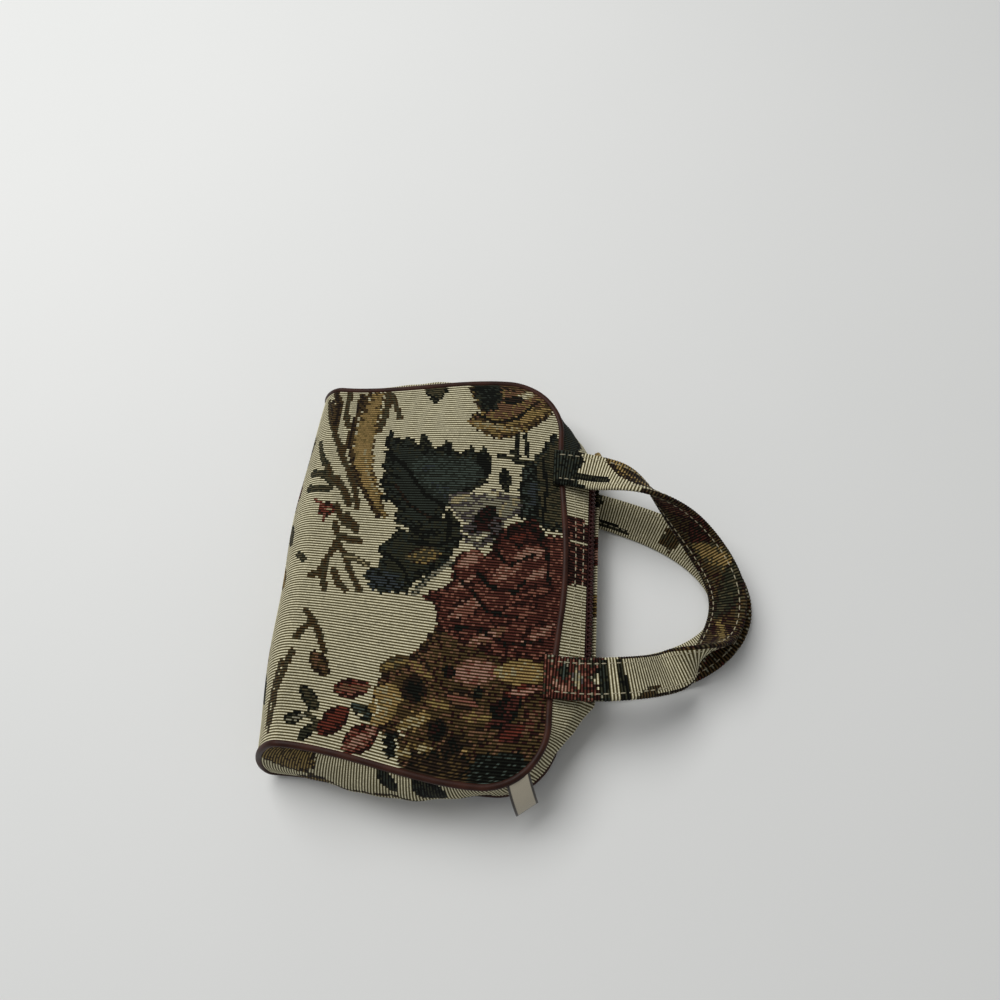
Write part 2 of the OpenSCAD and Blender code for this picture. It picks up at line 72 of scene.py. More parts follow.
# %% [markdown]
# ## Helpers for colour and nodes
# Colours are written as painters' hex values, but light adds up in linear numbers, so one function converts
# them. Nodes could be wired by hand in the editor, but a script can be read and run again: one small
# function adds a node with its settings, and another links its inputs or sets them as constants.

# %% Colour and nodes
def srgb(code):
    """Linear red, green, blue and alpha of a hex colour.

    A share c becomes ((c + 0.055) / 1.055) ** 2.4, and the darkest shares become c / 12.92.
    """
    c = np.array([int(code[i:i + 2], 16) for i in (1, 3, 5)]) / 255
    return (*np.where(c <= 0.04045, c / 12.92, ((c + 0.055) / 1.055) ** 2.4).tolist(), 1.0)


def fill(tree, node, inputs):
    """Fills inputs by name or in order: links a node's first live output or a socket, or sets a constant."""
    for key, value in inputs.items() if isinstance(inputs, dict) else enumerate(inputs):
        if isinstance(value, bpy.types.Node):
            value = next(output for output in value.outputs if output.enabled)
        if isinstance(value, bpy.types.NodeSocket):
            tree.links.new(value, node.inputs[key])
        else:
            node.inputs[key].default_value = value


def add(tree, kind, inputs=(), **settings):
    """Adds a node, gives it its settings, and fills its inputs."""
    node = tree.nodes.new("ShaderNode" + kind)
    for key, value in settings.items():
        setattr(node, key, value)
    fill(tree, node, inputs)
    return node


def new_finish(name, **sockets):
    """A material with its constant values set straight on the shader's sockets."""
    material = bpy.data.materials.new(name)
    material.use_nodes = True
    shader = material.node_tree.nodes["Principled BSDF"]
    fill(material.node_tree, shader, {key.replace("_", " "): value for key, value in sockets.items()})
    return material, material.node_tree, shader


def mottle(tree, shader, size, dark, light, detail=3.0):
    """Two colours mixed by noise with clouds of a size in millimetres; gives the noise back for a bump."""
    place = add(tree, "TexCoord").outputs["Object"]
    cloud = add(tree, "TexNoise", {"Vector": place, "Scale": 1 / (size * MM), "Detail": detail})
    shade = add(tree, "Mix", {"Factor": cloud, "A": srgb(dark), "B": srgb(light)}, data_type="RGBA")
    fill(tree, shader, {"Base Color": shade})
    return cloud


print("middle grey in linear light:", round(srgb("#808080")[0], 3))

# %% [markdown]
# ## Helpers for meshes
# A cloth, a cord and a row of stitches are all grids of points. They could be modelled by hand, but a grid
# that comes from a formula goes into its mesh in one step, with no loop over points.

# %% Grids and meshes
def quads(rows, columns, wrap=False):
    """The four corner numbers of each cell of a grid, whose last column meets the first where wrap is set."""
    i, j = np.meshgrid(np.arange(rows - 1), np.arange(columns if wrap else columns - 1), indexing="ij")
    here, beside = i * columns + j, i * columns + (j + 1) % columns
    return np.stack([here, beside, beside + columns, here + columns], -1).reshape(-1, 4)


def corners(values):
    """What a grid of values gives at the four corners of each cell, in the order of quads."""
    cells = [values[:-1, :-1], values[:-1, 1:], values[1:, 1:], values[1:, :-1]]
    return np.stack(cells, 2).reshape(-1, 4, *values.shape[2:])


def make_object(name, points, faces, material, uv=None, yarn=None, flip=False):
    """Puts points in millimetres and faces into a mesh, with a UV pair and a yarn colour at each corner."""
    if flip:
        faces = faces[:, ::-1]
        uv = None if uv is None else uv[:, ::-1]
    mesh = bpy.data.meshes.new(name)
    mesh.from_pydata(points.reshape(-1, 3) * MM, [], faces)
    mesh.polygons.foreach_set("use_smooth", np.ones(len(faces), bool))
    if uv is not None:
        mesh.uv_layers.new(name="rib").data.foreach_set("uv", uv.astype(np.float32).ravel())
    if yarn is not None:
        rgba = np.concatenate([np.clip(yarn, 0, 1), np.ones((len(yarn), 1))], 1)
        colours = mesh.color_attributes.new("yarn", "FLOAT_COLOR", "CORNER")
        colours.data.foreach_set("color", np.repeat(rgba, 4, 0).astype(np.float32).ravel())
    mesh.materials.append(material)
    mesh.update()
    made = bpy.data.objects.new(name, mesh)
    scene.collection.objects.link(made)
    return made


def make_piece(name, points, faces, material, slot, **extras):
    """An object that moves with the bag's body; the slot argument is not used."""
    piece = make_object(name, points, faces, material, **extras)
    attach(piece, "bag")
    return piece


print("cells of a grid of 3 by 4 points:", len(quads(3, 4)))

# %% [markdown]
# ## Floor and light
# The bag lies on a plain pale board under a window. A wide lamp high beyond the far base corner stands for
# the window, so soft shadows fall towards the straps and the viewer, and an even world stands for the pale
# walls. Many lamps could be used, but one lamp and one even world are easy to judge and to change.

# %% Floor
# A matt board scatters light evenly, and its paint has faint clouds a third of a metre wide.
FLOOR_HALF, FLOOR_LINES, FLOOR_DROP, FLOOR_CLOUD = 1600, 9, 0.05, 1000 / 3
floor_paint, tree, shader = new_finish("matt white board", Roughness=0.75)
mottle(tree, shader, FLOOR_CLOUD, "#dcdddb", "#e2e2e0", detail=4.0)
span = np.linspace(-FLOOR_HALF, FLOOR_HALF, FLOOR_LINES)
board = np.stack([*np.meshgrid(span, span), np.full((FLOOR_LINES, FLOOR_LINES), -FLOOR_DROP)], -1)
floor = make_object("floor", board, quads(FLOOR_LINES, FLOOR_LINES), floor_paint)
print("floor of", 2 * FLOOR_HALF, "mm")

# %% Window and walls
WINDOW_PLACE, WINDOW_AIM = Vector((-0.65, 0.60, 1.50)), Vector((0.02, 0.0, 0.02))
window = bpy.data.lights.new("window", "AREA")
window.shape, window.size, window.size_y, window.energy = "RECTANGLE", 1.3, 1.1, 25.2
window_lamp = bpy.data.objects.new("window", window)
facing = (WINDOW_AIM - WINDOW_PLACE).to_track_quat("-Z", "Y").to_matrix().to_4x4()
window_lamp.matrix_world = Matrix.Translation(WINDOW_PLACE) @ facing
scene.collection.objects.link(window_lamp)
scene.world = bpy.data.worlds.new("pale room")
scene.world.use_nodes = True
walls = scene.world.node_tree
fill(walls, walls.nodes["Background"], {"Color": srgb("#f4f5f6"), "Strength": 0.32})
print("lamp of", round(window.energy, 1), "W over", round(window.size, 1), "m")

# %% [markdown]
# ## The outline of the bag
# Front and back are panels with two straight sides, two round top corners and a slightly bowed top
# seam. They could be drawn as curves, but a formula gives every point of a seam from one number,
# which runs from a base corner (0) up the side (1), round the corner (2), to the middle of the top
# (3) and down the other side (6).

# %% Outline
# Each panel has its widths, its height from base to top seam, its base's x, and its seam's heights.
FRONT = dict(w_base=188, w_top=212, h=127, x=-58.5, z_base=46, z_top=33)
BACK = dict(w_base=208, w_top=214, h=145, x=-72.5, z_base=5, z_top=8)
# These are the radius of the top corners, the bow of the top seam, the front's
# crown and the cloth's thickness.
CORNER, BOW, CROWN, CLOTH = 30.0, 5.0, 5.0, 1.6


def mix(a, b, t):
    """A share t of the way from a to b."""
    return a + (b - a) * t


def ease(t):
    """A smooth step from 0 to 1: 3t^2 - 2t^3."""
    c = np.clip(t, 0, 1)
    return c * c * (3 - 2 * c)


def shoulder(p):
    """Distance from the base to where the side ends and the corner begins."""
    return p["h"] - BOW - CORNER


def top_half(p):
    """Half the length of the top seam between its corners."""
    return p["w_top"] / 2 - CORNER


def half_width(p, x):
    """Half the width at x from the base: an eased change from the base width to the top width."""
    return mix(p["w_base"], p["w_top"], ease(x / shoulder(p))) / 2


def top_edge(p, y, inset):
    """Distance of the top edge from the base: a cosine bow between the corners, then a quarter circle."""
    past = np.abs(y) - top_half(p)
    bow = p["h"] - inset - BOW * (1 - np.cos(np.pi * y / top_half(p))) / 2
    return np.where(past <= 0, bow, shoulder(p) + np.sqrt(np.maximum(0, (CORNER - inset) ** 2 - past ** 2)))


def seam_height(p, x):
    """Height of the seam at x from the base: a straight slope from base to top."""
    return mix(p["z_base"], p["z_top"], np.clip(x / (p["h"] - BOW), 0, 1))


print("front's far shoulder, mm from base and middle:", shoulder(FRONT), half_width(FRONT, shoulder(FRONT)))

# %% Seams
def half_seam(p, s):
    """A point of the seam on the far half: straight side, then arc, then bowed top."""
    a = np.pi / 2 * np.clip(s - 1, 0, 1)
    side_x, y_top = np.clip(s, 0, 1) * shoulder(p), top_half(p) * (3 - s)
    x = np.select([s < 1, s < 2], [side_x, shoulder(p) + CORNER * np.sin(a)], top_edge(p, y_top, 0))
    y = np.select([s < 1, s < 2], [half_width(p, side_x), top_half(p) + CORNER * np.cos(a)], y_top)
    return np.stack([p["x"] + x, y, seam_height(p, x)], -1)


def far_half(s):
    """The number on the far half that stands for s: s itself up to 3, and 6 - s past it."""
    return np.where(s <= 3, s, 6 - s)


def mirrored(points, s):
    """Points of the far half, with y turned to the near side where s is past 3."""
    return points * np.where(s[..., None] <= 3, 1, [1, -1, 1])


def seam(p, s):
    """The whole seam: the far half, then its mirror image."""
    return mirrored(half_seam(p, far_half(s)), s)


print("front seam at the near shoulder, mm:", seam(FRONT, np.array([5.0]))[0].round(1))

# %% Measures of a grid
def unit(v):
    """A vector divided by its length."""
    return v / np.maximum(np.linalg.norm(v, axis=-1, keepdims=True), 1e-9)


def outward_of(points):
    """Unit normals of a grid: the cross product of its differences along rows and along columns."""
    return unit(np.cross(np.gradient(points, axis=0), np.gradient(points, axis=1)))


def flat_area(points):
    """Area of a grid in square metres: half the cross product of each cell's diagonals, added up."""
    one, two = points[1:, 1:] - points[:-1, :-1], points[1:, :-1] - points[:-1, 1:]
    return float(np.linalg.norm(np.cross(one, two), axis=-1).sum()) / 2 * MM ** 2


def lengths(points, axis=0):
    """Distance along a line or a grid of points: 0, and then the lengths of the steps added up."""
    steps = np.linalg.norm(np.diff(points, axis=axis), axis=-1)
    return np.concatenate([np.zeros_like(np.take(steps, [0], axis)), np.cumsum(steps, axis)], axis)


print("front seam of", round(lengths(seam(FRONT, np.linspace(0, 6, 601)))[-1]), "mm")

# %% [markdown]
# ## One panel for front, base and back
# The tapestry goes from the front round the base to the back in one piece. It could be three flat pieces
# with thickness, but a used bag shows soft dents where the hand has pressed it, so slow waves are added to
# the formula and die away at the seams. Each cell of the grid is one stitch of the weave: columns are ribs,
# and rows lie about as far apart as the ribs.

# %% Panel formulas
# These are the depths of dents and ripples, the base's swell, what its middle adds, its waves, and the
# back's flat share with the share that rises to the seam.
DENT, RIPPLE = 0.7, 0.45
BASE_SWELL, BASE_MIDDLE, BASE_WAVE = 8.5, 3.5, 0.6
FLAT_SHARE, RISING_SHARE = 0.7, 0.3


def front_surface(across, down, inset):
    """Seam height plus a crown that falls off with |across|^2.5 and with (x / top)^6, plus slow sine waves.

    The waves turn 2 to 9 radians over half the width and one radian over 13 to 23 mm of height.
    """
    x = top_edge(FRONT, across * (FRONT["w_top"] / 2 - inset), inset) * (1 - down)
    fall = (1 - np.abs(across) ** 2.5) * (1 - (1 - down) ** 6)
    dents = DENT * np.sin(across * 5.1 + x / 23) * np.sin(x / 17 + across * 2.0)
    dents = dents + RIPPLE * np.sin(across * 9.0 - x / 13)
    y = across * (half_width(FRONT, x) - inset)
    z = seam_height(FRONT, x) + CROWN * fall + dents * np.minimum(1, 3 * fall)
    return np.stack([FRONT["x"] + x, y, z], -1)


def back_surface(across, up, inset):
    """Flat on the table in the middle, and eased up to the seam's height over the outer 30 percent."""
    x = top_edge(BACK, across * (BACK["w_top"] / 2 - inset), inset) * up
    rise = lambda t: ease((t - FLAT_SHARE) / RISING_SHARE)
    flat = (1 - rise(np.abs(across))) * (1 - rise(up)) * (1 - rise(1 - up))
    y = across * (half_width(BACK, x) - inset)
    return np.stack([BACK["x"] + x, y, mix(seam_height(BACK, x), CLOTH / 2, flat)], -1)


def base_surface(across, turn, inset):
    """Half an ellipse from the front's base edge to the back's, fuller in the middle and slightly waved."""
    fade = 1 - across ** 2
    swell = (BASE_SWELL + BASE_MIDDLE * fade) * np.sin(turn)
    swell = swell + BASE_WAVE * np.sin(across * 7) * np.sin(turn) ** 2 * fade
    front_edge = front_surface(across, np.ones_like(turn), inset)
    back_edge = back_surface(across, np.zeros_like(turn), inset)
    ends = mix(front_edge, back_edge, ((1 - np.cos(turn)) / 2)[..., None])
    return ends - np.stack([swell, 0 * swell, 0 * swell], -1)


def panel_surface(ribs, inset, front_rows, base_rows, back_rows):
    """Front, base and back one after the other on one grid."""
    grid = lambda values: np.meshgrid(np.linspace(-1, 1, ribs + 1), values)
    turns = np.linspace(0, np.pi, base_rows + 1)[1:-1]
    return np.concatenate([
        front_surface(*grid(np.linspace(0, 1, front_rows + 1)), inset),
        base_surface(*grid(turns), inset),
        back_surface(*grid(np.linspace(0, 1, back_rows + 1)), inset),
    ])


print("front's middle at mm:", front_surface(np.zeros(1), np.full(1, 0.5), 0.0)[0].round(1))

# %% Panel grid
# A rib's width, the rise of its crest, the panel's number of ribs, and the cloth's distance from the seam.
RIB, RIB_RISE, RIBS, SEAM_INSET = 1.45, 0.25, 146, 1.0
FRONT_ROWS, BASE_ROWS, BACK_ROWS = 92, 42, 104
middle = panel_surface(RIBS, SEAM_INSET, FRONT_ROWS, BASE_ROWS, BACK_ROWS)
panel_points = middle - outward_of(middle) * CLOTH / 2
run = lengths(panel_points)
panel_x = run[FRONT_ROWS] - run
panel_y = panel_points[..., 1]
print("panel points:", panel_x.size, " cloth from seam to seam, mm:", round(float(run[-1, RIBS // 2])))

# %% [markdown]
# ## Yarns and motifs
# A tapestry is woven from a few yarns. Each stitch shows one of them, so a motif's edge climbs in steps. The
# motifs could be painted as a picture, but here they are worked in as a weaver's chart would be: leaves,
# blooms, stems and fields, each a simple formula that says how deep inside the motif a stitch lies.

# %% Yarns
YARN_HEX = dict(
    cream="#e2dbba", straw="#b5a983", bark="#56452a", soil="#30241a", gold="#96804f", honey="#b0945f",
    olive="#56503a", moss="#38392a", ink="#161812", slate="#313730", teal="#444e47", blue="#3b4245",
    mist="#96937f", mauve="#565050", wine="#5a3027", plum="#331a15", rose="#8f5d4d", blush="#b48a78",
    red="#6e3427", clay="#7c5c44",
)
YARN = {name: np.array(srgb(code)[:3]) for name, code in YARN_HEX.items()}


def new_cloth(x, y, seed):
    """A chart of cream stitches at x and y, with a fixed random number for each stitch."""
    speckle = np.random.default_rng(seed).random(x.shape)
    return dict(x=x, y=y, speckle=speckle, yarn=np.broadcast_to(YARN["cream"], (*x.shape, 3)).copy())


def work_in(cloth, depth, yarns, rough):
    """Where depth is above 0 a stitch takes a yarn: the first at the motif's edge, the last in its middle."""
    pick = (np.clip(depth + rough * (cloth["speckle"] - 0.5), 0, 0.999) * len(yarns)).astype(int)
    colours = np.array([YARN[name] for name in yarns])
    cloth["yarn"] = np.where((depth > 0)[..., None], colours[pick], cloth["yarn"])


def faded(cloth, seed):
    """Each stitch a little lighter or darker than its yarn, as dyed wool is, in one list of colours."""
    spread = np.random.default_rng(seed).normal(1, 0.07, (*cloth["x"].shape, 1))
    return (cloth["yarn"] * np.clip(spread, 0.75, 1.25)).reshape(-1, 3)


print("yarns:", len(YARN))

# %% Leaves and blooms
PETALS = 5


def leaf(cloth, ends, width):
    """Depth in a leaf: 1 - distance from the midrib / half width, where half width = w/2 sin(pi t)^0.7."""
    root, tip = ends
    way = np.subtract(tip, root)
    length = np.hypot(*way)
    dx, dy = cloth["x"] - root[0], cloth["y"] - root[1]
    t = (dx * way[0] + dy * way[1]) / length ** 2
    off = (dy * way[0] - dx * way[1]) / length
    half = width / 2 * np.sin(np.pi * np.clip(t, 0, 1)) ** 0.7
    return np.where((t > 0) & (t < 1), 1 - np.abs(off) / np.maximum(half, 1e-6), -1)


def bloom(cloth, middles, radius):
    """Depth in a flower: 1 - distance / (radius (0.75 + 0.25 |cos(petals angle / 2)|))."""
    dx, dy = cloth["x"] - middles[0][0], cloth["y"] - middles[0][1]
    edge = radius * (0.75 + 0.25 * np.abs(np.cos(PETALS * np.arctan2(dy, dx) / 2)))
    return 1 - np.hypot(dx, dy) / edge


print("petals of a bloom:", PETALS)

# %% Stems and fields
# A field's edge is shifted by up to half of this tooth, once in each step.
FIELD_TOOTH, TOOTH_STEP = 1.6, 4.4


def from_stretch(x, y, a, b):
    """Distance from the straight stretch between a and b: to the foot of the perpendicular, or to an end."""
    (ax, ay), (bx, by) = a, b
    t = np.clip(((x - ax) * (bx - ax) + (y - ay) * (by - ay)) / ((bx - ax) ** 2 + (by - ay) ** 2), 0, 1)
    return np.hypot(x - mix(ax, bx, t), y - mix(ay, by, t))


def stem(cloth, points, width):
    """Depth in a stem: 1 - distance from the nearest stretch of its line / half its width."""
    near = np.min([from_stretch(cloth["x"], cloth["y"], a, b) for a, b in zip(points, points[1:])], 0)
    return 1 - near / (width / 2)


def field(cloth, outline, reach):
    """Depth in a closed outline: distance from its edge / reach, after a saw-tooth shift of each stitch.

    A stitch is inside if a line from it crosses the outline an odd number of times.
    """
    x = cloth["x"] + FIELD_TOOTH * ((cloth["y"] / TOOTH_STEP) % 1 - 0.5)
    y = cloth["y"] + FIELD_TOOTH * ((cloth["x"] / TOOTH_STEP) % 1 - 0.5)
    stretches = list(zip(outline, outline[1:] + outline[:1]))
    inside = np.zeros(x.shape, bool)
    for (ax, ay), (bx, by) in stretches:
        inside ^= ((ay > y) != (by > y)) & (x < (bx - ax) * (y - ay) / (by - ay + 1e-9) + ax)
    near = np.min([from_stretch(x, y, a, b) for a, b in stretches], 0)
    return np.where(inside, np.minimum(near / reach, 0.999), -1)


print("steps of a field's edge per 100 mm:", round(100 / TOOTH_STEP))

# %% Charts
# Each kind of motif has its formula, and how far a stitch's random number may move its yarn.
MOTIFS = dict(field=(field, 1.0), leaf=(leaf, 0.75), stem=(stem, 0.7), bloom=(bloom, 0.7))


def chart(text):
    """Reads a chart: each row gives a kind of motif, its size and its yarns, and after a colon its points."""
    rows = []
    for line in text.replace("\n  ", " ").strip().splitlines():
        (kind, size, *yarns), places = [part.split() for part in line.split(":")]
        rows.append((kind, float(size), yarns, [tuple(map(float, place.split(","))) for place in places]))
    return rows


def work_rows(cloth, rows):
    """Works the rows of a chart into a cloth, the first ones lowest."""
    for kind, size, yarns, points in rows:
        depth_in, rough = MOTIFS[kind]
        work_in(cloth, depth_in(cloth, points, size), yarns, rough)


print("kinds of motif:", *MOTIFS)

# %% [markdown]
# ## The chart of the front
# The front shows sprigs by the base, a gold scroll, large dark leaves, a rose and smaller flowers round it.
# A picture could be laid over the cloth, but a chart keeps every stitch one yarn. A row of it gives a
# motif's kind, size and yarns from edge to middle, and then points in millimetres from the base and from the
# middle of the bag. Later rows cover earlier ones.

# %% Chart: ground, sprigs and scroll
GROUND = chart("""
field 8.3 soil bark clay plum clay bark: 72,-16 67,-25 67,-37 61,-45 56,-51 45,-57 41,-70 42,-83 55,-89
  58,-104 72,-110 99,-112 116,-106 126,-96 133,-72 134,-16 130,-1 113,6 85,-3
""")
SPRIGS = chart("""
stem 3.5 olive bark: -9,89 0,69 7,53 13,43 18,32 21,22
stem 4.2 bark soil: -4,94 1,83 1,71
stem 3.4 bark olive: 5,93 5,79 8,70
stem 3.8 soil bark: -5,86 -1,79 -1,73
stem 3 bark: 7,53 9,59 9,66
stem 4.2 olive bark: 7,38 13,30 16,24
stem 4.5 moss olive: -7,41 -1,40 6,36
stem 4.2 moss olive: -7,32 0,31 5,32
stem 3.4 olive bark: 1,46 4,39 7,35
stem 3.8 olive bark: 10,22 15,14 22,10
stem 4.2 olive bark: 16,17 21,12
stem 3.4 bark olive: 11,12 14,5 11,-3 7,-13 3,-15
stem 3.2 olive bark: 13,3 18,-3 21,-10 28,-21
stem 3.8 olive bark: 16,6 21,4 25,4
stem 3.4 bark olive: 10,-5 9,-15 11,-22
stem 3.4 bark olive: 14,-12 17,-18 21,-21
stem 3.2 olive straw: 18,-4 24,-5 30,-8
stem 3.4 moss olive: -6,-4 -2,-7
stem 3.8 bark olive: 26,95 27,81 25,70
stem 3.2 bark olive: 28,93 32,85 35,78
stem 3.4 moss olive: -7,60 -3,51 0,46
stem 3 bark soil: 12,91 11,82
stem 3.2 bark olive: 1,-53 -5,-70 -7,-88
stem 2.8 bark olive: -4,-57 -9,-72 -10,-86
stem 3.2 olive bark: 4,-33 11,-41 16,-52
stem 3.4 olive bark: 9,-38 4,-42 2,-46
""")
SCROLL = chart("""
field 3.6 bark gold honey gold honey: 18,95 13,78 12,61 15,44 22,31 33,19 37,18 34,25 29,36 25,48 23,62
  24,77 24,94
stem 2.4 soil bark: 16,94 11,76 11,57 15,44 23,31 32,18
stem 1.5 honey straw: 19,56 22,44 29,31
bloom 4.7 soil red rose straw: 5,20
stem 1.9 red rose: -1,25 4,21 5,14
""")
print("motifs by the base:", len(GROUND + SPRIGS + SCROLL))

# %% Chart: far flower and leaves
FAR_FLOWER = chart("""
field 4.7 ink moss olive olive: 43,103 60,104 59,97 54,89 48,94
field 4.2 soil bark gold clay: 70,106 72,99 77,88 81,86 75,84 72,79 76,75 83,71 91,69 98,71 107,77 116,86
  119,92 114,101 107,106 96,109 83,108
field 4.2 ink moss slate ink: 72,106 88,108 90,96 87,86 80,87 75,95
leaf 10.8 bark gold honey straw: 73,78 103,76
leaf 8.9 bark honey gold: 92,77 118,93
leaf 6.1 soil clay bark: 88,104 109,103
leaf 4.7 straw cream: 97,96 109,102
leaf 5 ink soil: 90,94 103,96
stem 1.8 soil ink: 77,84 87,79 99,83 110,96
stem 1.5 bark gold: 83,74 94,73 106,80
""")
LARGE_LEAF = chart("""
field 8.3 ink moss slate slate: 31,70 29,63 31,56 30,48 32,43 30,38 33,32 32,28 39,26 41,23 39,19 43,14
  49,12 55,10 62,13 66,23 68,28 69,32 76,35 81,38 86,42 87,50 87,57 82,66 80,60 75,63 72,59 67,59 62,66
  58,60 55,62 49,69 47,61 42,67 38,64 34,66
field 5.6 slate teal slate teal: 44,52 55,56 80,56 85,51 81,41 70,35 66,27 58,32 50,38 45,44
field 2.8 teal slate blue: 50,50 59,52 57,46 52,43
field 3.3 slate blue teal: 57,39 66,39 66,29 60,32
stem 2.2 ink ink: 31,56 41,49 49,39 55,32 65,27
leaf 6.1 ink ink ink: 79,59 87,48
stem 1.7 ink moss: 48,67 51,55
stem 1.7 ink moss: 64,64 64,57
stem 1.8 ink soil: 38,37 47,26 60,19
stem 1.7 ink: 33,44 39,41
""")
MIDDLE_LEAF = chart("""
field 6.9 ink moss slate moss: 39,20 43,12 39,7 34,2 37,-4 34,-9 29,-13 34,-20 39,-22 51,-21 53,-17 58,-12
  65,-7 71,0 75,8 76,14 68,25 62,13 55,10 47,12
field 4.2 slate blue ink blue: 29,-13 34,-10 46,-11 51,-21 39,-22 34,-20
leaf 10 soil olive gold olive: 48,-3 66,1
leaf 8.3 ink slate moss: 54,13 68,19
stem 3.1 slate mist mist: 71,-3 64,-9 58,-16 55,-21
stem 1.8 ink: 38,-1 48,-8 52,-16
stem 1.7 cream: 42,14 48,13
stem 1.9 ink ink: 49,6 64,5 72,9
stem 1.9 ink: 66,23 69,14 68,6
""")
TOP_LEAF = chart("""
field 5.6 ink slate moss olive: 119,76 115,69 113,64 108,58 104,55 103,43 103,35 104,24 112,23 119,19 130,19
  132,30 131,58 128,72
field 3.6 ink slate teal ink: 104,53 111,56 114,33 112,24 105,25
field 2.2 slate blue blue: 107,44 112,46 113,33 108,29
field 3.6 moss olive olive: 116,64 123,67 124,35 119,32
stem 1.8 ink: 114,60 117,42 116,22
leaf 6.4 ink moss ink: 94,52 96,37
stem 2.6 ink moss: 100,72 100,56
stem 2.6 ink moss: 104,73 106,61
stem 2.6 ink moss: 90,59 99,58 104,56
stem 2.6 ink moss: 97,62 101,60
""")
print("motifs in the far flower and the leaves:", len(FAR_FLOWER + LARGE_LEAF + MIDDLE_LEAF + TOP_LEAF))

# %% Chart: grey flower and rose
GREY_FLOWER = chart("""
field 4.7 mauve mist mauve mist: 66,33 73,36 82,34 89,39 96,36 104,35 104,27 97,22 95,16 90,9 84,5 78,7
  74,12 77,18 71,23
leaf 7.8 mauve mist straw: 67,28 78,34
leaf 7.2 mist straw mist: 92,22 103,35
field 4 mauve ink mauve plum: 76,10 80,20 88,27 95,22 92,12 84,7
leaf 4.4 mauve mist cream: 79,8 89,14
leaf 3.6 straw cream: 93,36 86,36
leaf 7.5 ink plum ink: 81,18 92,29
stem 1.7 mauve plum: 83,15 87,19 94,21
stem 1.2 cream mist: 75,13 82,10 90,10
""")
ROSE = chart("""
field 6.1 plum wine rose wine: 95,16 102,22 112,24 118,17 132,16 134,-16 134,-45 115,-48 99,-48 83,-44
  68,-37 65,-25 58,-22 65,-18 72,-14 72,-4 76,3 83,1 90,3
field 4 ink plum wine plum: 96,12 102,21 112,23 119,15 120,8 104,8
leaf 10 wine rose blush blush: 75,-6 86,3
leaf 10.5 wine rose blush blush: 101,1 119,9
leaf 9 wine rose blush rose: 91,-12 106,1
leaf 9 wine rose blush: 107,-10 121,-1
leaf 8.6 wine rose blush: 73,-17 86,-8
leaf 7.2 plum wine rose: 105,-18 123,-11
leaf 5 plum wine red: 99,11 112,18
leaf 10 plum rose blush rose: 72,-32 89,-20
leaf 10 plum wine rose wine: 93,-32 115,-21
leaf 8.9 plum rose clay blush: 82,-44 102,-34
leaf 10.3 plum wine rose blush: 108,-42 125,-29
leaf 4.2 plum wine: 91,-6 80,-15
stem 1.8 ink plum: 95,15 91,6 100,-2 113,5
stem 1.8 ink plum: 85,-7 91,-14 104,-16 108,-10
stem 1.8 ink plum: 74,-10 85,-19 92,-27 105,-28
stem 1.8 ink plum: 74,-36 87,-35 101,-42 118,-39
stem 1.8 ink plum: 112,18 119,7 121,-11
""")
print("motifs in the grey flower and the rose:", len(GREY_FLOWER + ROSE))

# %% Chart: near flowers and buds
NEAR_FLOWERS = chart("""
leaf 7.2 bark olive gold: 42,-58 57,-52
leaf 14 clay blush rose blush: 76,-58 100,-54
leaf 12 gold honey straw honey: 96,-55 125,-53
leaf 8.6 soil clay rose: 75,-67 91,-71
leaf 12.5 gold honey honey straw: 43,-84 50,-67
leaf 8.9 bark honey straw gold: 54,-84 70,-76
leaf 11 gold honey straw honey: 41,-68 56,-71
leaf 7.2 bark clay gold: 66,-70 78,-73
leaf 7.8 soil clay gold: 56,-53 68,-60
leaf 11.7 ink plum wine: 95,-80 110,-66
leaf 8.6 plum wine red: 101,-86 112,-78
leaf 8.6 plum bark wine clay: 112,-84 121,-65
leaf 6.4 plum red rose blush: 102,-65 122,-60
leaf 8.6 bark gold straw: 55,-95 72,-91
leaf 8.6 soil clay honey: 71,-95 87,-91
leaf 8.6 bark clay gold: 83,-77 99,-75
leaf 7.2 soil clay bark: 83,-87 98,-83
leaf 5.6 plum red wine: 121,-49 128,-68
bloom 6.4 soil ink ink: 60,-66
bloom 5.6 soil ink plum: 73,-83
bloom 2.8 ink moss: 90,-65
bloom 3.6 ink plum: 76,-57
bloom 5 soil ink soil: 81,-89
bloom 3.6 ink plum: 100,-73
field 3.3 ink slate teal ink: 84,-110 92,-93 102,-91 111,-90 118,-95 110,-108 93,-112
field 3 soil ink bark soil: 61,-104 72,-110 88,-110 90,-94 76,-92 62,-93
""")
BUDS = chart("""
leaf 7.8 soil bark clay: 10,-52 19,-63
leaf 6.9 ink moss olive: 7,-68 17,-79
leaf 5.6 ink moss mist: 1,-84 11,-81
leaf 5.8 ink moss: 9,-92 16,-85
leaf 9.4 plum red rose clay: 22,-69 40,-66
leaf 10.8 plum red red: 18,-89 31,-76
leaf 12.2 plum red rose blush: 30,-95 46,-84
leaf 6.1 ink moss teal: 32,-74 42,-81
stem 2.6 moss olive: 12,-80 17,-84 15,-87
field 2.5 ink slate ink: 48,-86 54,-86 55,-97 50,-96
stem 1.1 cream: 24,-75 30,-74 37,-74
stem 1.1 cream: 30,-86 32,-81 37,-79
stem 1.1 cream: 42,-80 45,-76 43,-72
stem 1.1 cream: 55,-85 58,-87
""")
print("motifs in the near flowers and the buds:", len(NEAR_FLOWERS + BUDS))

# %% [markdown]
# ## The chart of the base and the back
# A long spray runs round the base. The back repeats the front's chart the other way round, as a bag cut from
# one length of cloth would. It could have a chart of its own, but a weaver repeats one.

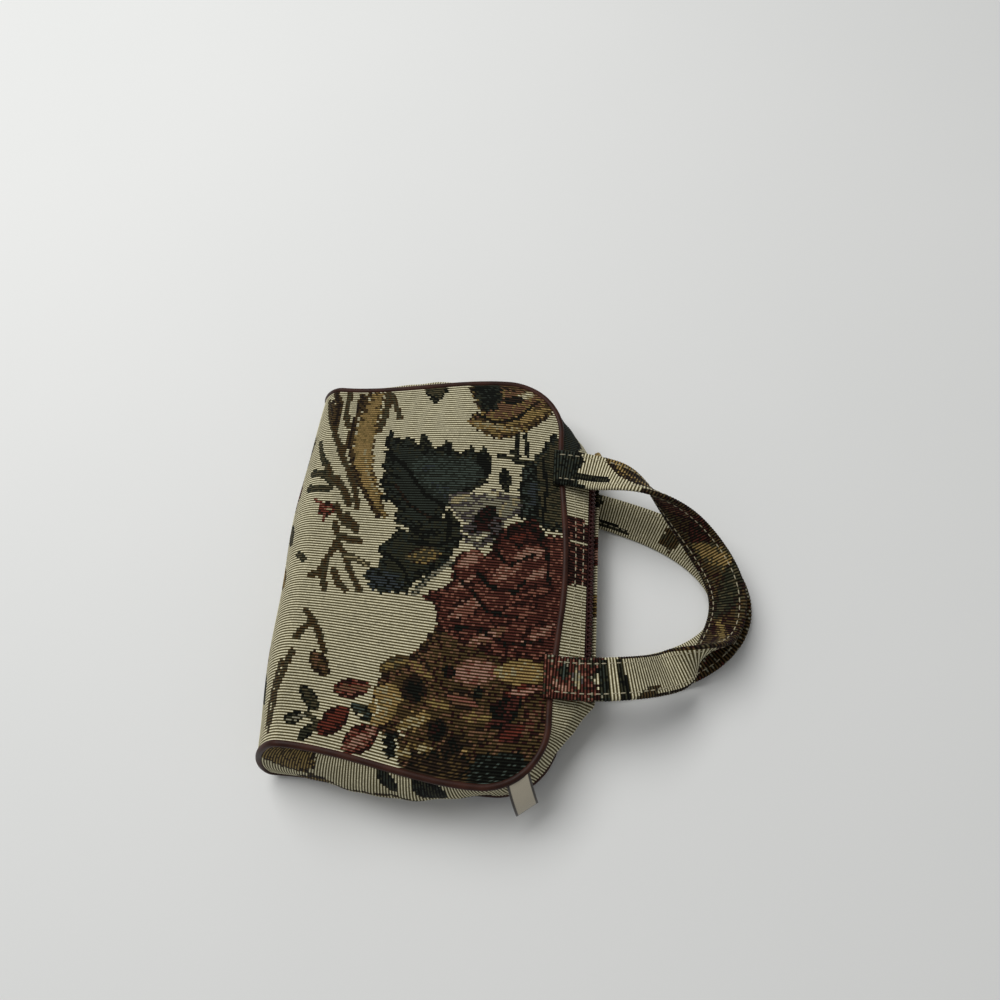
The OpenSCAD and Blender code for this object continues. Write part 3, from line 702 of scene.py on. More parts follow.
# %% Panel's stitches
BASE_SPRAY = chart("""
stem 3.2 bark olive: -16,66 -24,48 -29,20 -25,-10 -34,-42 -30,-62
leaf 12 ink moss olive: -18,60 -36,76
leaf 11 ink slate teal slate: -22,54 -46,56
bloom 11 plum wine rose blush: -28,34
bloom 3.4 soil gold: -28,34
leaf 12 ink moss slate: -32,22 -50,8
leaf 9 ink moss olive: -25,16 -15,2
leaf 9 bark gold honey: -27,-8 -16,-20
leaf 11 soil bark gold: -31,-22 -52,-30
bloom 10 bark gold honey straw: -32,-52
bloom 3.4 ink soil: -32,-52
leaf 11 ink moss slate: -30,-60 -18,-76
leaf 11 ink slate teal: -38,-62 -52,-80
leaf 9 plum wine red: -42,74 -54,90
""")
FRONT_CHART = (GROUND + SPRIGS + SCROLL + FAR_FLOWER + LARGE_LEAF + MIDDLE_LEAF + TOP_LEAF
               + GREY_FLOWER + ROSE + NEAR_FLOWERS + BUDS)
BACK_SHIFT = 62


def centres(values):
    """The value in the middle of each cell of a grid."""
    return (values[:-1, :-1] + values[:-1, 1:] + values[1:, 1:] + values[1:, :-1]) / 4


panel_cloth = new_cloth(centres(panel_x), centres(panel_y), 3)
work_rows(panel_cloth, FRONT_CHART)
back_from = FRONT_ROWS + BASE_ROWS * 2 // 3
back_chart = new_cloth(-(panel_cloth["x"][back_from:] + BACK_SHIFT), -panel_cloth["y"][back_from:], 5)
work_rows(back_chart, FRONT_CHART)
panel_cloth["yarn"][back_from:] = back_chart["yarn"]
work_rows(panel_cloth, BASE_SPRAY)
print("stitches that aren't cream:", int((np.abs(panel_cloth["yarn"] - YARN["cream"]).sum(-1) > 0.01).sum()))

# %% [markdown]
# ## Ribbed tapestry
# The real cloth is a worsted rep weave: fat soft ribs about 1.45 mm wide with a dark binding thread in the
# grooves between them. The eye gets a matt, slightly hairy surface with dark lines and small beads along
# each rib. An image of cloth could give that, but it would stretch. Here the colour of each stitch comes
# from the mesh, and the UV map counts millimetres along a rib and ribs across. In that colour the grooves'
# dark is the thread with painted shade added, and each bead carries painted shade.

# %% Tapestry: ribs and beads
tapestry, tree, shader = new_finish(
    "ribbed wool tapestry", Roughness=0.95, Specular_IOR_Level=0.1, Sheen_Weight=0.03, Sheen_Roughness=0.5)
BEAD_STEP = 1.3
rib_map = add(tree, "SeparateXYZ", [add(tree, "UVMap", uv_map="rib")]).outputs
in_rib = add(tree, "Math", [rib_map["Y"]], operation="FRACT")
from_crest = add(tree, "Math", [in_rib, 2.0, -1.0], operation="MULTIPLY_ADD")
from_crest = add(tree, "Math", [from_crest], operation="ABSOLUTE")
groove = add(tree, "MapRange", [from_crest, 0.08, 0.72], interpolation_type="SMOOTHSTEP")
# Beads of the weft lie 1.3 mm apart along a rib, and every other rib is half a step on.
rib_number = add(tree, "Math", [rib_map["Y"]], operation="FLOOR")
half_steps = add(tree, "Math", [rib_number, np.pi], operation="MULTIPLY")
bead_turn = add(tree, "Math", [rib_map["X"], 2 * np.pi / BEAD_STEP, half_steps], operation="MULTIPLY_ADD")
bead = add(tree, "Math", [bead_turn], operation="SINE")
print("ribs per 100 mm:", round(100 / RIB))

# %% Tapestry: colour and relief
# Fuzz breaks up the light stitch by stitch, and grime dulls patches about 28 mm wide.
FUZZ, GRIME = 0.9, 28
place = add(tree, "TexCoord").outputs["Object"]
fuzz = add(tree, "TexNoise", {"Vector": place, "Scale": 1 / (FUZZ * MM), "Detail": 3.0, "Roughness": 0.6})
grime = add(tree, "TexNoise", {"Vector": place, "Scale": 1 / (GRIME * MM), "Detail": 2.0})
hairy = add(tree, "Math", [fuzz, 0.5, 0.72], operation="MULTIPLY_ADD")
aged = add(tree, "Math", [grime, 0.3, 0.86], operation="MULTIPLY_ADD")
# Painted shade on the beads: each is up to 7 percent lighter on its crest and darker between.
painted_bead_shade = add(tree, "Math", [bead, 0.07, 1.0], operation="MULTIPLY_ADD")
shade = add(tree, "Math", [hairy, aged], operation="MULTIPLY")
shade = add(tree, "Math", [shade, painted_bead_shade], operation="MULTIPLY")
stitch = add(tree, "VertexColor", layer_name="yarn")
tinted = add(tree, "VectorMath", {0: stitch, "Scale": shade}, operation="SCALE")
# In a groove the yarn sinks behind an olive brown binding thread, with painted shade added, which leaves
# under a tenth of its light.
thread_and_groove_shade = add(tree, "Mix", {"Factor": groove, "A": srgb("#ffffff"), "B": srgb("#524a2c")}, data_type="RGBA")
woven = add(tree, "VectorMath", [tinted, thread_and_groove_shade], operation="MULTIPLY")
lumps = add(tree, "Math", [bead, 0.12, fuzz], operation="MULTIPLY_ADD")
height = add(tree, "Math", [groove, -1.0, lumps], operation="MULTIPLY_ADD")
relief = add(tree, "Bump", {"Height": height, "Strength": 0.7, "Distance": 0.35 * MM})
fill(tree, shader, {"Base Color": woven, "Normal": relief})
print("nodes in the tapestry:", len(tree.nodes))

# %% [markdown]
# ## The panel's cloth
# A rib stands up by a quarter of a millimetre, enough to break the outline where the cloth
# turns away. Bump alone could fake it, but not at an edge, so each column of cells is split in
# two and its middle line is raised.

# %% Panel piece
def ribbed(values, axis):
    """Doubles a grid along one axis: old lines stay as grooves, with a crest half way between each pair."""
    lines = np.moveaxis(values, axis, 0)
    both = np.repeat(lines, 2, 0)[:-1]
    both[1::2] = (lines[:-1] + lines[1:]) / 2
    return np.moveaxis(both, 0, axis)


ribs = np.broadcast_to(np.arange(RIBS + 1.0), panel_x.shape)
crests = ribbed(panel_points, 1)
crests[:, 1::2] -= RIB_RISE * ribbed(outward_of(middle), 1)[:, 1::2]
panel_uv = corners(ribbed(np.stack([panel_x, ribs], -1), 1))
panel_yarn = np.repeat(faded(panel_cloth, 7), 2, 0)
panel = make_piece("panel_cloth", crests, quads(*crests.shape[:2]), tapestry, "tapestry",
                   uv=panel_uv, yarn=panel_yarn, flip=True)
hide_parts("body_panel")
area = flat_area(panel_points)
print("panel cloth of", round(area * 1e4), "square cm")

# %% [markdown]
# ## The gusset
# A long strip joins front and back along both sides and the top, and the zip opens its top stretch. It could
# be an extruded band, but the real one swells softly at the sides and rises to the zip's two edges, so it is
# a surface between the two seams plus a swell. Its ribs run across the strip.

# %% Gusset formulas
# The zip's plane leans back by this angle, and its opening runs along y with an edge on each side.
TILT = np.radians(33)
ZIP_MID = np.array([81.5, 0, 22.5])
ZIP_FACE = np.array([np.cos(TILT), 0, np.sin(TILT)])
ZIP_UP = np.array([-np.sin(TILT), 0, np.cos(TILT)])
ZIP_LENGTH, ZIP_GAP = 128.0, 10.2
FRONT_EDGE, BACK_EDGE = ZIP_MID + ZIP_UP * ZIP_GAP / 2, ZIP_MID - ZIP_UP * ZIP_GAP / 2
TOP_DROP = FRONT["z_top"] - BACK["z_top"]
SHARE_FRONT, SHARE_BACK = [(FRONT["z_top"] - edge[2]) / TOP_DROP for edge in (FRONT_EDGE, BACK_EDGE)]
SLOT_END = 3 - ZIP_LENGTH / 2 / top_half(FRONT)
# These are the sides' swell, the depth of creases, where the rise to the zip starts, and how far up the
# sides the base's swell reaches.
SIDE_SWELL, CREASE, RISE_FROM, BASE_PULL = 8.5, 0.5, 1.4, 0.45


def top_swell(s, t):
    """Straight from the front seam to the zip's front edge, across the opening and back to the back seam."""
    f, b = [half_seam(panel, np.maximum(s, 2))[..., 0] for panel in (FRONT, BACK)]
    to_front = FRONT_EDGE[0] - mix(f, b, SHARE_FRONT)
    to_back = BACK_EDGE[0] - mix(f, b, SHARE_BACK)
    between = mix(to_front, to_back, (t - SHARE_FRONT) / (SHARE_BACK - SHARE_FRONT))
    before, beyond = to_front * t / SHARE_FRONT, to_back * (1 - t) / (1 - SHARE_BACK)
    return np.select([t < SHARE_FRONT, t < SHARE_BACK], [before, between], beyond)


def gusset_surface(s, t):
    """A line between the seams, plus an arch at the sides, the zip's rise on top and the base's swell.

    The arch is 4t(1 - t), and creases are two sine waves along the strip that die away towards the zip.
    """
    half, arch = far_half(s), 4 * t * (1 - t)
    turn = np.pi / 2 * np.clip(half - 1, 0, 1)
    top = np.clip((half - RISE_FROM) / (SLOT_END - RISE_FROM), 0, 1) ** 3
    side = np.where(half < 1, SIDE_SWELL * np.sin(np.pi * half), 0) * arch
    creases = CREASE * arch * np.sin(s * 31) * np.sin(s * 7 + t * 4) * (1 - top)
    swell = mix(side, top_swell(half, t), top) + creases
    end = BASE_SWELL * np.sqrt(np.maximum(0, arch)) * (1 - np.clip(half / BASE_PULL, 0, 1)) ** 2
    points = mix(half_seam(FRONT, half), half_seam(BACK, half), t[..., None])
    return mirrored(points + np.stack([np.sin(turn) * swell - end, np.cos(turn) * swell, 0 * swell], -1), s)


print("zip's opening along the seam's number: from", round(SLOT_END, 2), "to", round(6 - SLOT_END, 2))

# %% Gusset grid
def gusset_grid(inset, rib, cells):
    """Ribs at equal steps along the strip's middle, and cells across that start and end at the inset."""
    fine = np.linspace(inset / shoulder(FRONT), 6 - inset / shoulder(FRONT), 4001)
    length = lengths(gusset_surface(fine, np.full_like(fine, 0.5)))
    along = np.linspace(0, length[-1], int(round(length[-1] / rib)) + 1)
    s = np.interp(along, length, fine)
    line = lambda share: np.full_like(s, share)
    reach = lambda a, b: np.linalg.norm(gusset_surface(s, line(a)) - gusset_surface(s, line(b)), axis=1)
    first = SHARE_FRONT * inset / reach(0, SHARE_FRONT)
    last = 1 - (1 - SHARE_BACK) * inset / reach(SHARE_BACK, 1)
    marks = [first, line(SHARE_FRONT), line(SHARE_BACK), last]
    stretches = [np.linspace(a, b, count + 1) for a, b, count in zip(marks, marks[1:], cells)]
    t = np.concatenate([stretches[0], stretches[1][1:], stretches[2][1:]]).T
    s = np.broadcast_to(s[:, None], t.shape)
    return s, t, along, gusset_surface(s, t)


# Cells across: from the front seam to the opening, over the opening, and on to the back seam.
CELLS = (8, 8, 11)
SLOT_FIRST, SLOT_LAST = CELLS[0], CELLS[0] + CELLS[1]
gusset_s, gusset_t, gusset_along, strip = gusset_grid(SEAM_INSET, RIB, CELLS)
strip_out = outward_of(strip)
gusset_points = strip + strip_out * CLOTH / 2
gusset_across = lengths(gusset_points, 1)
print("gusset of", gusset_points.shape, "points,", round(gusset_along[-1]), "mm long")

# %% [markdown]
# ## The gusset's chart and its folded edges
# Only a few motifs fall on so narrow a strip. Beside the zip the cloth is folded in, so a rounded lip runs
# along both edges of the opening. A Solidify modifier could thicken the edge, but a fold is rounder: a
# quarter circle and then a short wall down to the tape.

# %% Gusset's stitches
GUSSET_MOTIFS = chart("""
stem 2.6 bark olive: 470,14 440,24 416,16 384,24
field 4 soil bark gold bark gold: 486,-2 486,20 472,24 458,18 454,10 456,-2
leaf 12 soil bark gold: 464,34 446,20
leaf 10 bark gold honey: 450,42 434,32
leaf 8 ink moss slate: 422,-1 413,12
leaf 15 ink slate ink moss: 404,-2 390,14
leaf 10 ink moss olive: 384,18 370,34
leaf 9 plum wine red: 420,22 408,38
field 4 plum wine wine rose plum: 212,-3 222,-4 236,-3 250,-2 248,10 238,16 220,16 212,10
stem 1.6 cream: 226,2 226,12
field 4 ink slate moss slate: 136,-3 178,-3 178,9 160,12 142,8
leaf 10 plum wine blush: 214,30 234,22
leaf 8 ink olive: 186,24 204,30
leaf 9 bark gold honey: 250,22 266,32
leaf 9 plum wine rose: 318,24 330,40
stem 2.8 bark olive: 8,22 40,16 62,22 94,14 126,20
leaf 11 ink moss olive: 12,8 30,20
leaf 11 ink slate teal: 28,26 50,34
bloom 11 plum wine rose blush: 62,20
bloom 3.4 soil gold: 62,20
leaf 10 ink slate moss: 74,10 92,3
leaf 10 bark gold honey: 76,26 98,32
leaf 9 ink moss olive: 106,16 124,4
leaf 8 plum red rose: 104,20 118,30
""")
along_grid = np.broadcast_to(gusset_along[:, None], gusset_t.shape)
gusset_cloth = new_cloth(centres(along_grid), centres(gusset_across), 11)
work_rows(gusset_cloth, GUSSET_MOTIFS)
gusset_yarn = np.repeat(faded(gusset_cloth, 13).reshape(*gusset_cloth["x"].shape, 3), 2, 0)
print("motifs on the gusset:", len(GUSSET_MOTIFS))

# %% Gusset piece
LIP, LIP_WALL, LIP_STEP = 0.8, 1.1, 0.5
lip_turn = np.radians([0, 30, 60, 90, 90])
lip_out = (LIP * np.sin(lip_turn))[:, None]
lip_drop = (LIP * (1 - np.cos(lip_turn)) + np.array([0, 0, 0, 0, LIP_WALL]))[:, None]
in_slot = (gusset_s[:-1, 0] > SLOT_END) & (gusset_s[1:, 0] < 6 - SLOT_END)
kept = np.ones(gusset_cloth["x"].shape, bool)
kept[in_slot, SLOT_FIRST:SLOT_LAST] = False
kept = np.repeat(kept, 2, 0).ravel()
slot_rows = np.append(np.flatnonzero(in_slot), np.flatnonzero(in_slot)[-1] + 1)
lip_rows = np.arange(2 * slot_rows[0], 2 * slot_rows[-1] + 1)
crests = ribbed(gusset_points, 0)
crests[1::2] += RIB_RISE * ribbed(strip_out, 0)[1::2]
rib_count = np.broadcast_to(np.arange(float(len(gusset_along)))[:, None], gusset_t.shape)
points, faces = [crests.reshape(-1, 3)], [quads(*crests.shape[:2])[kept]]
uvs = [corners(ribbed(np.stack([gusset_across, rib_count], -1), 0))[kept]]
yarns = [gusset_yarn.reshape(-1, 3)[kept]]
for column, cell, inwards in ((SLOT_FIRST, SLOT_FIRST - 1, -1), (SLOT_LAST, SLOT_LAST, 1)):
    lip = crests[lip_rows, column][:, None] + ZIP_UP * inwards * lip_out - ZIP_FACE * lip_drop
    faces.append(quads(*lip.shape[:2]) + sum(len(p) for p in points))
    points.append((lip if inwards < 0 else lip[:, ::-1]).reshape(-1, 3))
    uvs.append(corners(np.stack(np.meshgrid(np.arange(len(lip_turn)) * LIP_STEP, lip_rows / 2), -1)))
    yarns.append(np.repeat(gusset_yarn[lip_rows[:-1], cell], len(lip_turn) - 1, 0))
gusset = make_piece("gusset_cloth", np.concatenate(points), np.concatenate(faces), tapestry, "tapestry",
                    uv=np.concatenate(uvs), yarn=np.concatenate(yarns))
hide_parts("gusset")


def cloth_area(piece):
    """Area of a piece's mesh in square metres."""
    areas = np.zeros(len(piece.data.polygons), np.float32)
    piece.data.polygons.foreach_get("area", areas)
    return float(areas.sum())


area = cloth_area(gusset) * flat_area(gusset_points) / flat_area(crests)
print("gusset cloth of", round(area * 1e4), "square cm")

# %% [markdown]
# ## Piping
# A vinyl-covered cord runs in every seam. It could be a curve with a round bevel, but the loop must meet the
# panels exactly, so a ring of points is carried along the same seam formulas, round the front, one end of
# the base, the back and the other end.

# %% Piping vinyl
# Grained vinyl has a low broken sheen, and it is paler and duller in patches that have been rubbed.
piping_vinyl, tree, shader = new_finish("wine brown grained vinyl", Roughness=0.5, Specular_IOR_Level=0.16)
GRAIN, RUBBED_PATCH = 0.6, 12
place = add(tree, "TexCoord").outputs["Object"]
grain = add(tree, "TexVoronoi", {"Vector": place, "Scale": 1 / (GRAIN * MM)})
rubbed = add(tree, "TexNoise", {"Vector": place, "Scale": 1 / (RUBBED_PATCH * MM), "Detail": 4.0})
worn = add(tree, "MapRange", [rubbed, 0.35, 0.75])
shade = add(tree, "Mix", {"Factor": worn, "A": srgb("#26120b"), "B": srgb("#432419")}, data_type="RGBA")
fill(tree, shader, {
    "Base Color": shade,
    "Roughness": add(tree, "MapRange", [rubbed, 0.2, 0.8, 0.42, 0.6]),
    "Normal": add(tree, "Bump", {"Height": grain, "Strength": 0.25, "Distance": 0.12 * MM}),
})
print("grains per 10 mm of piping:", round(10 / GRAIN))

# %% Piping piece
# These are the cord's radius and how far it strays and thickens, then the points of a ring, of a base end
# and of a seam, and how many rings away its wander is smoothed.
PIPE, PIPE_STRAY, PIPE_SWELL = 1.72, 0.12, 0.06
PIPE_SIDES, END_POINTS, SEAM_POINTS, SMOOTH_REACH = 14, 26, 430, 7
BAG_MIDDLE = np.array([0, 0, 25.5])


def tube(path, radius, sides, towards):
    """Rings of points round a closed path; the way to a fixed point keeps the rings from twisting."""
    ahead = unit(np.roll(path, -1, 0) - np.roll(path, 1, 0))
    inward = towards - path
    a = unit(inward - ahead * (inward * ahead).sum(-1, keepdims=True))
    b = np.cross(ahead, a)
    turn = np.linspace(0, 2 * np.pi, sides, endpoint=False)[:, None]
    round_path = (a[:, None] * np.cos(turn) + b[:, None] * np.sin(turn)) * np.asarray(radius)[:, None, None]
    rings = path[:, None] + round_path
    return np.concatenate([rings, rings[:1]])


def base_end(side):
    """The base's end from front to back, on the panel's own half ellipse, without its two corner points."""
    turn = np.linspace(np.pi / 24, np.pi * 23 / 24, END_POINTS)
    return base_surface(np.full(END_POINTS, side), turn, 0.0)


def smoothed(values, reach):
    """Each row of a closed loop as the mean of itself and its neighbours up to reach rows away."""
    return sum(np.roll(values, k, 0) for k in range(-reach, reach + 1)) / (2 * reach + 1)


around = np.linspace(0, 6, SEAM_POINTS)
piping_path = np.concatenate([
    seam(FRONT, around), base_end(-1.0), seam(BACK, around[::-1]), base_end(1.0)[::-1]])
wander = smoothed(np.random.default_rng(2).normal(0, 1, (len(piping_path), 3)), SMOOTH_REACH)
rings = tube(piping_path + PIPE_STRAY * wander, PIPE + PIPE_SWELL * wander[:, 0], PIPE_SIDES, BAG_MIDDLE)
piping = make_piece("piping_cord", rings, quads(rings.shape[0], PIPE_SIDES, wrap=True), piping_vinyl,
                    "piping_vinyl", flip=True)
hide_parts("piping")
print("piping of", len(piping_path), "rings")

# %% [markdown]
# ## Straps
# Each handle is a strip of the same tapestry, folded to about 2.4 mm and topstitched along both edges. A
# strap that loops and rolls over could be bent by modifiers, but carrying one soft flat section along a
# path, and turning it by a roll that grows towards the loop's tip, gives the twist that real straps have.

# %% Strap path
STRAP_W, STRAP_T = 20.0, 2.4
# Each strap has the gap between its roots, its reach, the panel it is sewn to, the height of its root, its
# roll, its lowest height, and the shares of the reach between which it droops.
FRONT_ROLL = 146
FRONT_LOW = 14 - abs(np.sin(np.radians(FRONT_ROLL))) * STRAP_W / 2
FRONT_STRAP = dict(
    gap=110, reach=87, panel=FRONT, seat=36.5, roll=FRONT_ROLL, low=FRONT_LOW, droop=(0.3, 1.0))
BACK_STRAP = dict(gap=94, reach=86, panel=BACK, seat=4.5, roll=-15, low=1.25, droop=(0.05, 0.45))
# The loop sways to the near side, and 4 mm of lap lie behind the seam, drawn over 10 degrees of the path.
SWAY, LAP, LAP_TURN = 8, 4, 10
ROLL_START_FAR, ROLL_START_NEAR = 0.15, 0.6


def strap_path(strap, angle):
    """Half an ellipse from the top seam out and back, with laps at both ends; returns points and the roll."""
    on_loop = np.clip(angle, 0, 180)
    a = np.radians(on_loop)
    out, lap = np.sin(a), LAP * np.abs(angle - on_loop) / LAP_TURN
    start = np.where(angle < 90, ROLL_START_FAR, ROLL_START_NEAR)
    roll = np.radians(strap["roll"]) * ease((out - start) / (1 - start)) * ((angle > 0) & (angle < 180))
    low, high = strap["droop"]
    z = mix(strap["seat"], strap["low"], ease((out - low) / (high - low)))
    z = z + np.abs(np.sin(roll)) * STRAP_W / 2
    x = strap["panel"]["x"] + top_edge(strap["panel"], strap["gap"] / 2, 0) - lap + strap["reach"] * out
    return np.stack([x, strap["gap"] / 2 * np.cos(a) - SWAY * out, z], -1), roll


def strap_frame(strap, angle):
    """Points along a strap, the way across it and the way out of its face."""
    path, roll = strap_path(strap, angle)
    ahead = unit(strap_path(strap, angle + 2)[0] - strap_path(strap, angle - 2)[0])
    outward = unit(np.cross([0, 0, 1], ahead))
    upward = np.cross(ahead, outward)
    c, s = np.cos(roll)[:, None], np.sin(roll)[:, None]
    return path, outward * c - upward * s, upward * c + outward * s


def strap_angles(strap):
    """Angles at equal steps of one rib along a strap."""
    fine = np.linspace(-LAP_TURN, 180 + LAP_TURN, 2001)
    length = lengths(strap_path(strap, fine)[0])
    return np.interp(np.linspace(0, length[-1], int(round(length[-1] / RIB)) + 1), length, fine), length[-1]


print("front strap's tip at mm:", strap_path(FRONT_STRAP, np.array([90.0]))[0][0].round(1))

# %% Strap section
STRAP_CELLS, PUFF, END_CLOSE = 14, 0.12, 0.02


def band_section(width, thick, cells):
    """A flat ring with round edges: across the top, round an edge, back along the bottom, round the other."""
    flat = np.linspace(-1, 1, cells + 1) * (width - thick) / 2
    turn = np.linspace(np.pi / 2, -np.pi / 2, 5)[1:-1]
    puff = thick / 2 * (1 + PUFF * (1 - (2 * flat / width) ** 2))
    top = np.stack([flat, puff], -1)
    edge = np.stack([(width - thick) / 2 + thick / 2 * np.cos(turn), thick / 2 * np.sin(turn)], -1)
    return np.concatenate([top, edge, -top, -edge])


def carry_band(path, wide, thick_way, section):
    """The section at each point of a path, with its two ends drawn in to close it."""
    rings = path[:, None] + wide[:, None] * section[..., :1] + thick_way[:, None] * section[..., 1:]
    close = lambda ring, p: p + (ring - p) * END_CLOSE
    return np.concatenate([close(rings[:1], path[0]), rings, close(rings[-1:], path[-1])])


section = band_section(STRAP_W, STRAP_T, STRAP_CELLS)
crest_section = band_section(STRAP_W + 2 * RIB_RISE, STRAP_T + 2 * RIB_RISE, STRAP_CELLS)
girth = lengths(np.concatenate([section, section[:1]]))
print("strap section of", len(section), "points, girth", round(float(girth[-1]), 1), "mm")

# %% [markdown]
# ## Stitches
# Topstitching is cotton thread that dips into the cloth at each end. A dashed line in a material would look
# printed on, so each stitch is a small rounded capsule of a few dozen faces, all of them made in one array.

# %% Stitch thread
# Cotton thread is matt, and its plies show as small light and dark flecks, drawn
# 0.4 mm long so that they show.
thread_cotton, tree, shader = new_finish("cream cotton thread", Roughness=0.8, Specular_IOR_Level=0.3)
mottle(tree, shader, 0.4, "#7a725b", "#b5ad92", detail=2.0)
# These are the thread's width, its lift and its dip, a stitch's length and step,
# and its rings and their points.
THREAD, THREAD_LIFT, THREAD_SINK = 0.62, 0.22, 0.08
STITCH, STITCH_STEP, CAPSULE = 2.6, 3.6, 6


def make_stitches(name, starts, ends, ups, slot):
    """Capsules from starts to ends: radius w/2 sqrt(1 - (2t - 1)^6), lifted at mid length by a sine."""
    t, turn = np.linspace(0, 1, CAPSULE), np.linspace(0, 2 * np.pi, CAPSULE, endpoint=False)[:, None]
    radius = (THREAD / 2 * np.sqrt(np.maximum(0.02, 1 - (2 * t - 1) ** 6)))[:, None, None]
    lift = (THREAD_LIFT * np.sin(np.pi * t) - THREAD_SINK)[:, None]
    sides = unit(np.cross(ends - starts, ups))
    spine = mix(starts[:, None], ends[:, None], t[:, None]) + ups[:, None] * lift
    ring = sides[:, None, None] * np.cos(turn) + ups[:, None, None] * np.sin(turn)
    one = quads(CAPSULE, CAPSULE, wrap=True)
    faces = (one[None] + np.arange(len(starts))[:, None, None] * CAPSULE ** 2).reshape(-1, 4)
    return make_piece(name, spine[:, :, None] + ring * radius, faces, thread_cotton, slot, flip=True)


print("faces a stitch:", len(quads(CAPSULE, CAPSULE, wrap=True)))

# %% [markdown]
# ## The straps' charts
# The straps are cut from the same cloth, so leaves and fields cross them at odd places. A repeating pattern
# would be quicker, but each strap shows its own cut, so each has a short chart of its own: x runs along the
# strap from its far end, and y runs round it, the outer face first and the inner face from 21 mm on.

# %% Straps' motifs
FRONT_STRAP_MOTIFS = chart("""
field 6 ink slate ink moss slate: -5,-2 14,-2 13,8 15,12 12,23 20,45 -5,45
stem 3.6 ink moss: 12,4 22,5 30,4
leaf 17 soil bark gold honey gold: 23,22 64,5
leaf 5 bark soil: 34,15 58,10
leaf 9 bark olive gold: 60,18 84,8
field 8 soil bark wine olive bark moss: 72,-2 158,-2 164,23 76,23
field 8 soil bark olive plum bark: 44,20 212,20 208,45 48,45
leaf 12 plum wine clay wine: 50,26 78,38
leaf 11 plum wine soil: 76,40 98,26
leaf 12 olive gold honey: 90,26 112,40
leaf 13 soil moss olive moss: 108,40 136,24
leaf 12 plum bark gold: 136,26 158,40
leaf 12 soil olive gold: 160,40 186,26
leaf 11 plum wine rose: 100,4 124,14
leaf 11 ink moss olive: 128,14 154,4
stem 2.4 soil mist bark: 60,20 200,19
stem 2.4 soil bark mist: 90,43 200,43
stem 5 ink moss slate: 217.5,-2 216.5,23
stem 4 ink moss: 209,-2 208,23
leaf 5 olive bark: 204,20 190,14
""")
BACK_STRAP_MOTIFS = chart("""
field 5 moss straw olive ink straw: -5,-2 23,-2 20,8 22,23 -5,23
stem 5 ink moss: 18,1 30,1 38,0
field 3 bark olive bark: 57,3 67,1 70,12 60,17
leaf 9 bark gold honey: 74,6 98,14
leaf 10 ink moss slate: 110,12 134,6
leaf 9 plum wine rose: 150,8 172,14
leaf 9 bark gold: 30,30 60,36
leaf 11 ink moss olive: 80,38 112,28
leaf 10 plum wine rose: 126,28 156,36
leaf 10 bark gold honey: 176,36 200,28
field 4 soil bark wine mist bark: 92,9 150,9 156,23 88,23
""")
# What lies at a strap's near root has its x counted back from the strap's end.
FRONT_ROOT = chart("""
field 6 plum wine mist rose moss wine: -5,-2 28,-2 25,9 29,23 29,45 -5,45
leaf 5 ink moss teal: 10,2 10,10
leaf 6 wine rose blush: 5,12 13,15
leaf 5 mauve mist straw: 16,4 17,14
""")
BACK_ROOT = chart("""
field 5 moss straw olive: -5,-2 28,-2 25,9 29,23 29,45 -5,45
""")


def from_end(rows, length):
    """The rows of a chart with x counted back from a strap's end."""
    return [(kind, size, yarns, [(length - x, y) for x, y in points]) for kind, size, yarns, points in rows]


print("motifs on the straps:", len(FRONT_STRAP_MOTIFS + FRONT_ROOT), len(BACK_STRAP_MOTIFS + BACK_ROOT))

# %% Strap pieces
# Stitches keep this far from the strap's edge and ends, and stand this far out of its face.
EDGE_GAP, FIRST_STITCH, LAST_STITCH, THREAD_OUT = 3.0, 3, 5, 0.18
STRAPS = (("strap_front", FRONT_STRAP, "handle_front", 21, FRONT_STRAP_MOTIFS, FRONT_ROOT),
          ("strap_back", BACK_STRAP, "handle_back", 23, BACK_STRAP_MOTIFS, BACK_ROOT))
for name, strap, node, seed, motifs, root_motifs in STRAPS:
    angle, length = strap_angles(strap)
    path, wide, face = strap_frame(strap, ribbed(angle, 0))
    on_crest = (np.arange(len(path)) % 2)[:, None, None]
    rings = carry_band(path, wide, face, np.where(on_crest, crest_section, section))
    along = np.concatenate([[0], np.arange(len(path)), [len(path) - 1]]) / 2
    strap_uv = corners(np.stack(np.meshgrid(girth, along), -1))
    round_band, rib_place = np.meshgrid(girth, np.arange(len(angle)) * RIB)
    strap_cloth = new_cloth(centres(rib_place), centres(round_band), seed)
    work_rows(strap_cloth, motifs + from_end(root_motifs, length))
    rib_yarn = np.repeat(faded(strap_cloth, seed).reshape(len(angle) - 1, -1, 3), 2, 0)
    strap_yarn = np.concatenate([rib_yarn[:1], rib_yarn, rib_yarn[-1:]]).reshape(-1, 3)
    piece = make_piece(name, rings, quads(len(rings), len(section), wrap=True), tapestry, "strap_tapestry",
                       uv=strap_uv, yarn=strap_yarn)
    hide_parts(node)
    stitch_at = np.arange(FIRST_STITCH, length - LAST_STITCH, STITCH_STEP)
    angle_at = lambda place: np.interp(place, np.linspace(0, length, len(angle)), angle)
    p0, w0, f0 = strap_frame(strap, angle_at(stitch_at))
    p1, w1, f1 = strap_frame(strap, angle_at(stitch_at + STITCH))
    in_from_edge, out_of_face = STRAP_W / 2 - EDGE_GAP, STRAP_T / 2 + THREAD_OUT
    lines = [(side * in_from_edge, up * out_of_face) for side in (-1, 1) for up in (-1, 1)]
    starts = np.concatenate([p0 + w0 * a + f0 * b for a, b in lines])
    ends = np.concatenate([p1 + w1 * a + f1 * b for a, b in lines])
    ups = np.concatenate([f0 * np.sign(b) for a, b in lines])
    make_stitches(name + "_stitches", starts, ends, ups, "strap_tapestry")
    print(name, "of", round(length), "mm with", len(starts), "stitches")

# %% [markdown]
# ## Topstitching on the gusset
# Beside the zip three rows of thread hold the folded cloth down, and a short bar of stitches
# closes each end of the opening. They could be laid on straight lines, but rows that follow the
# gusset's own grid stay on the cloth.

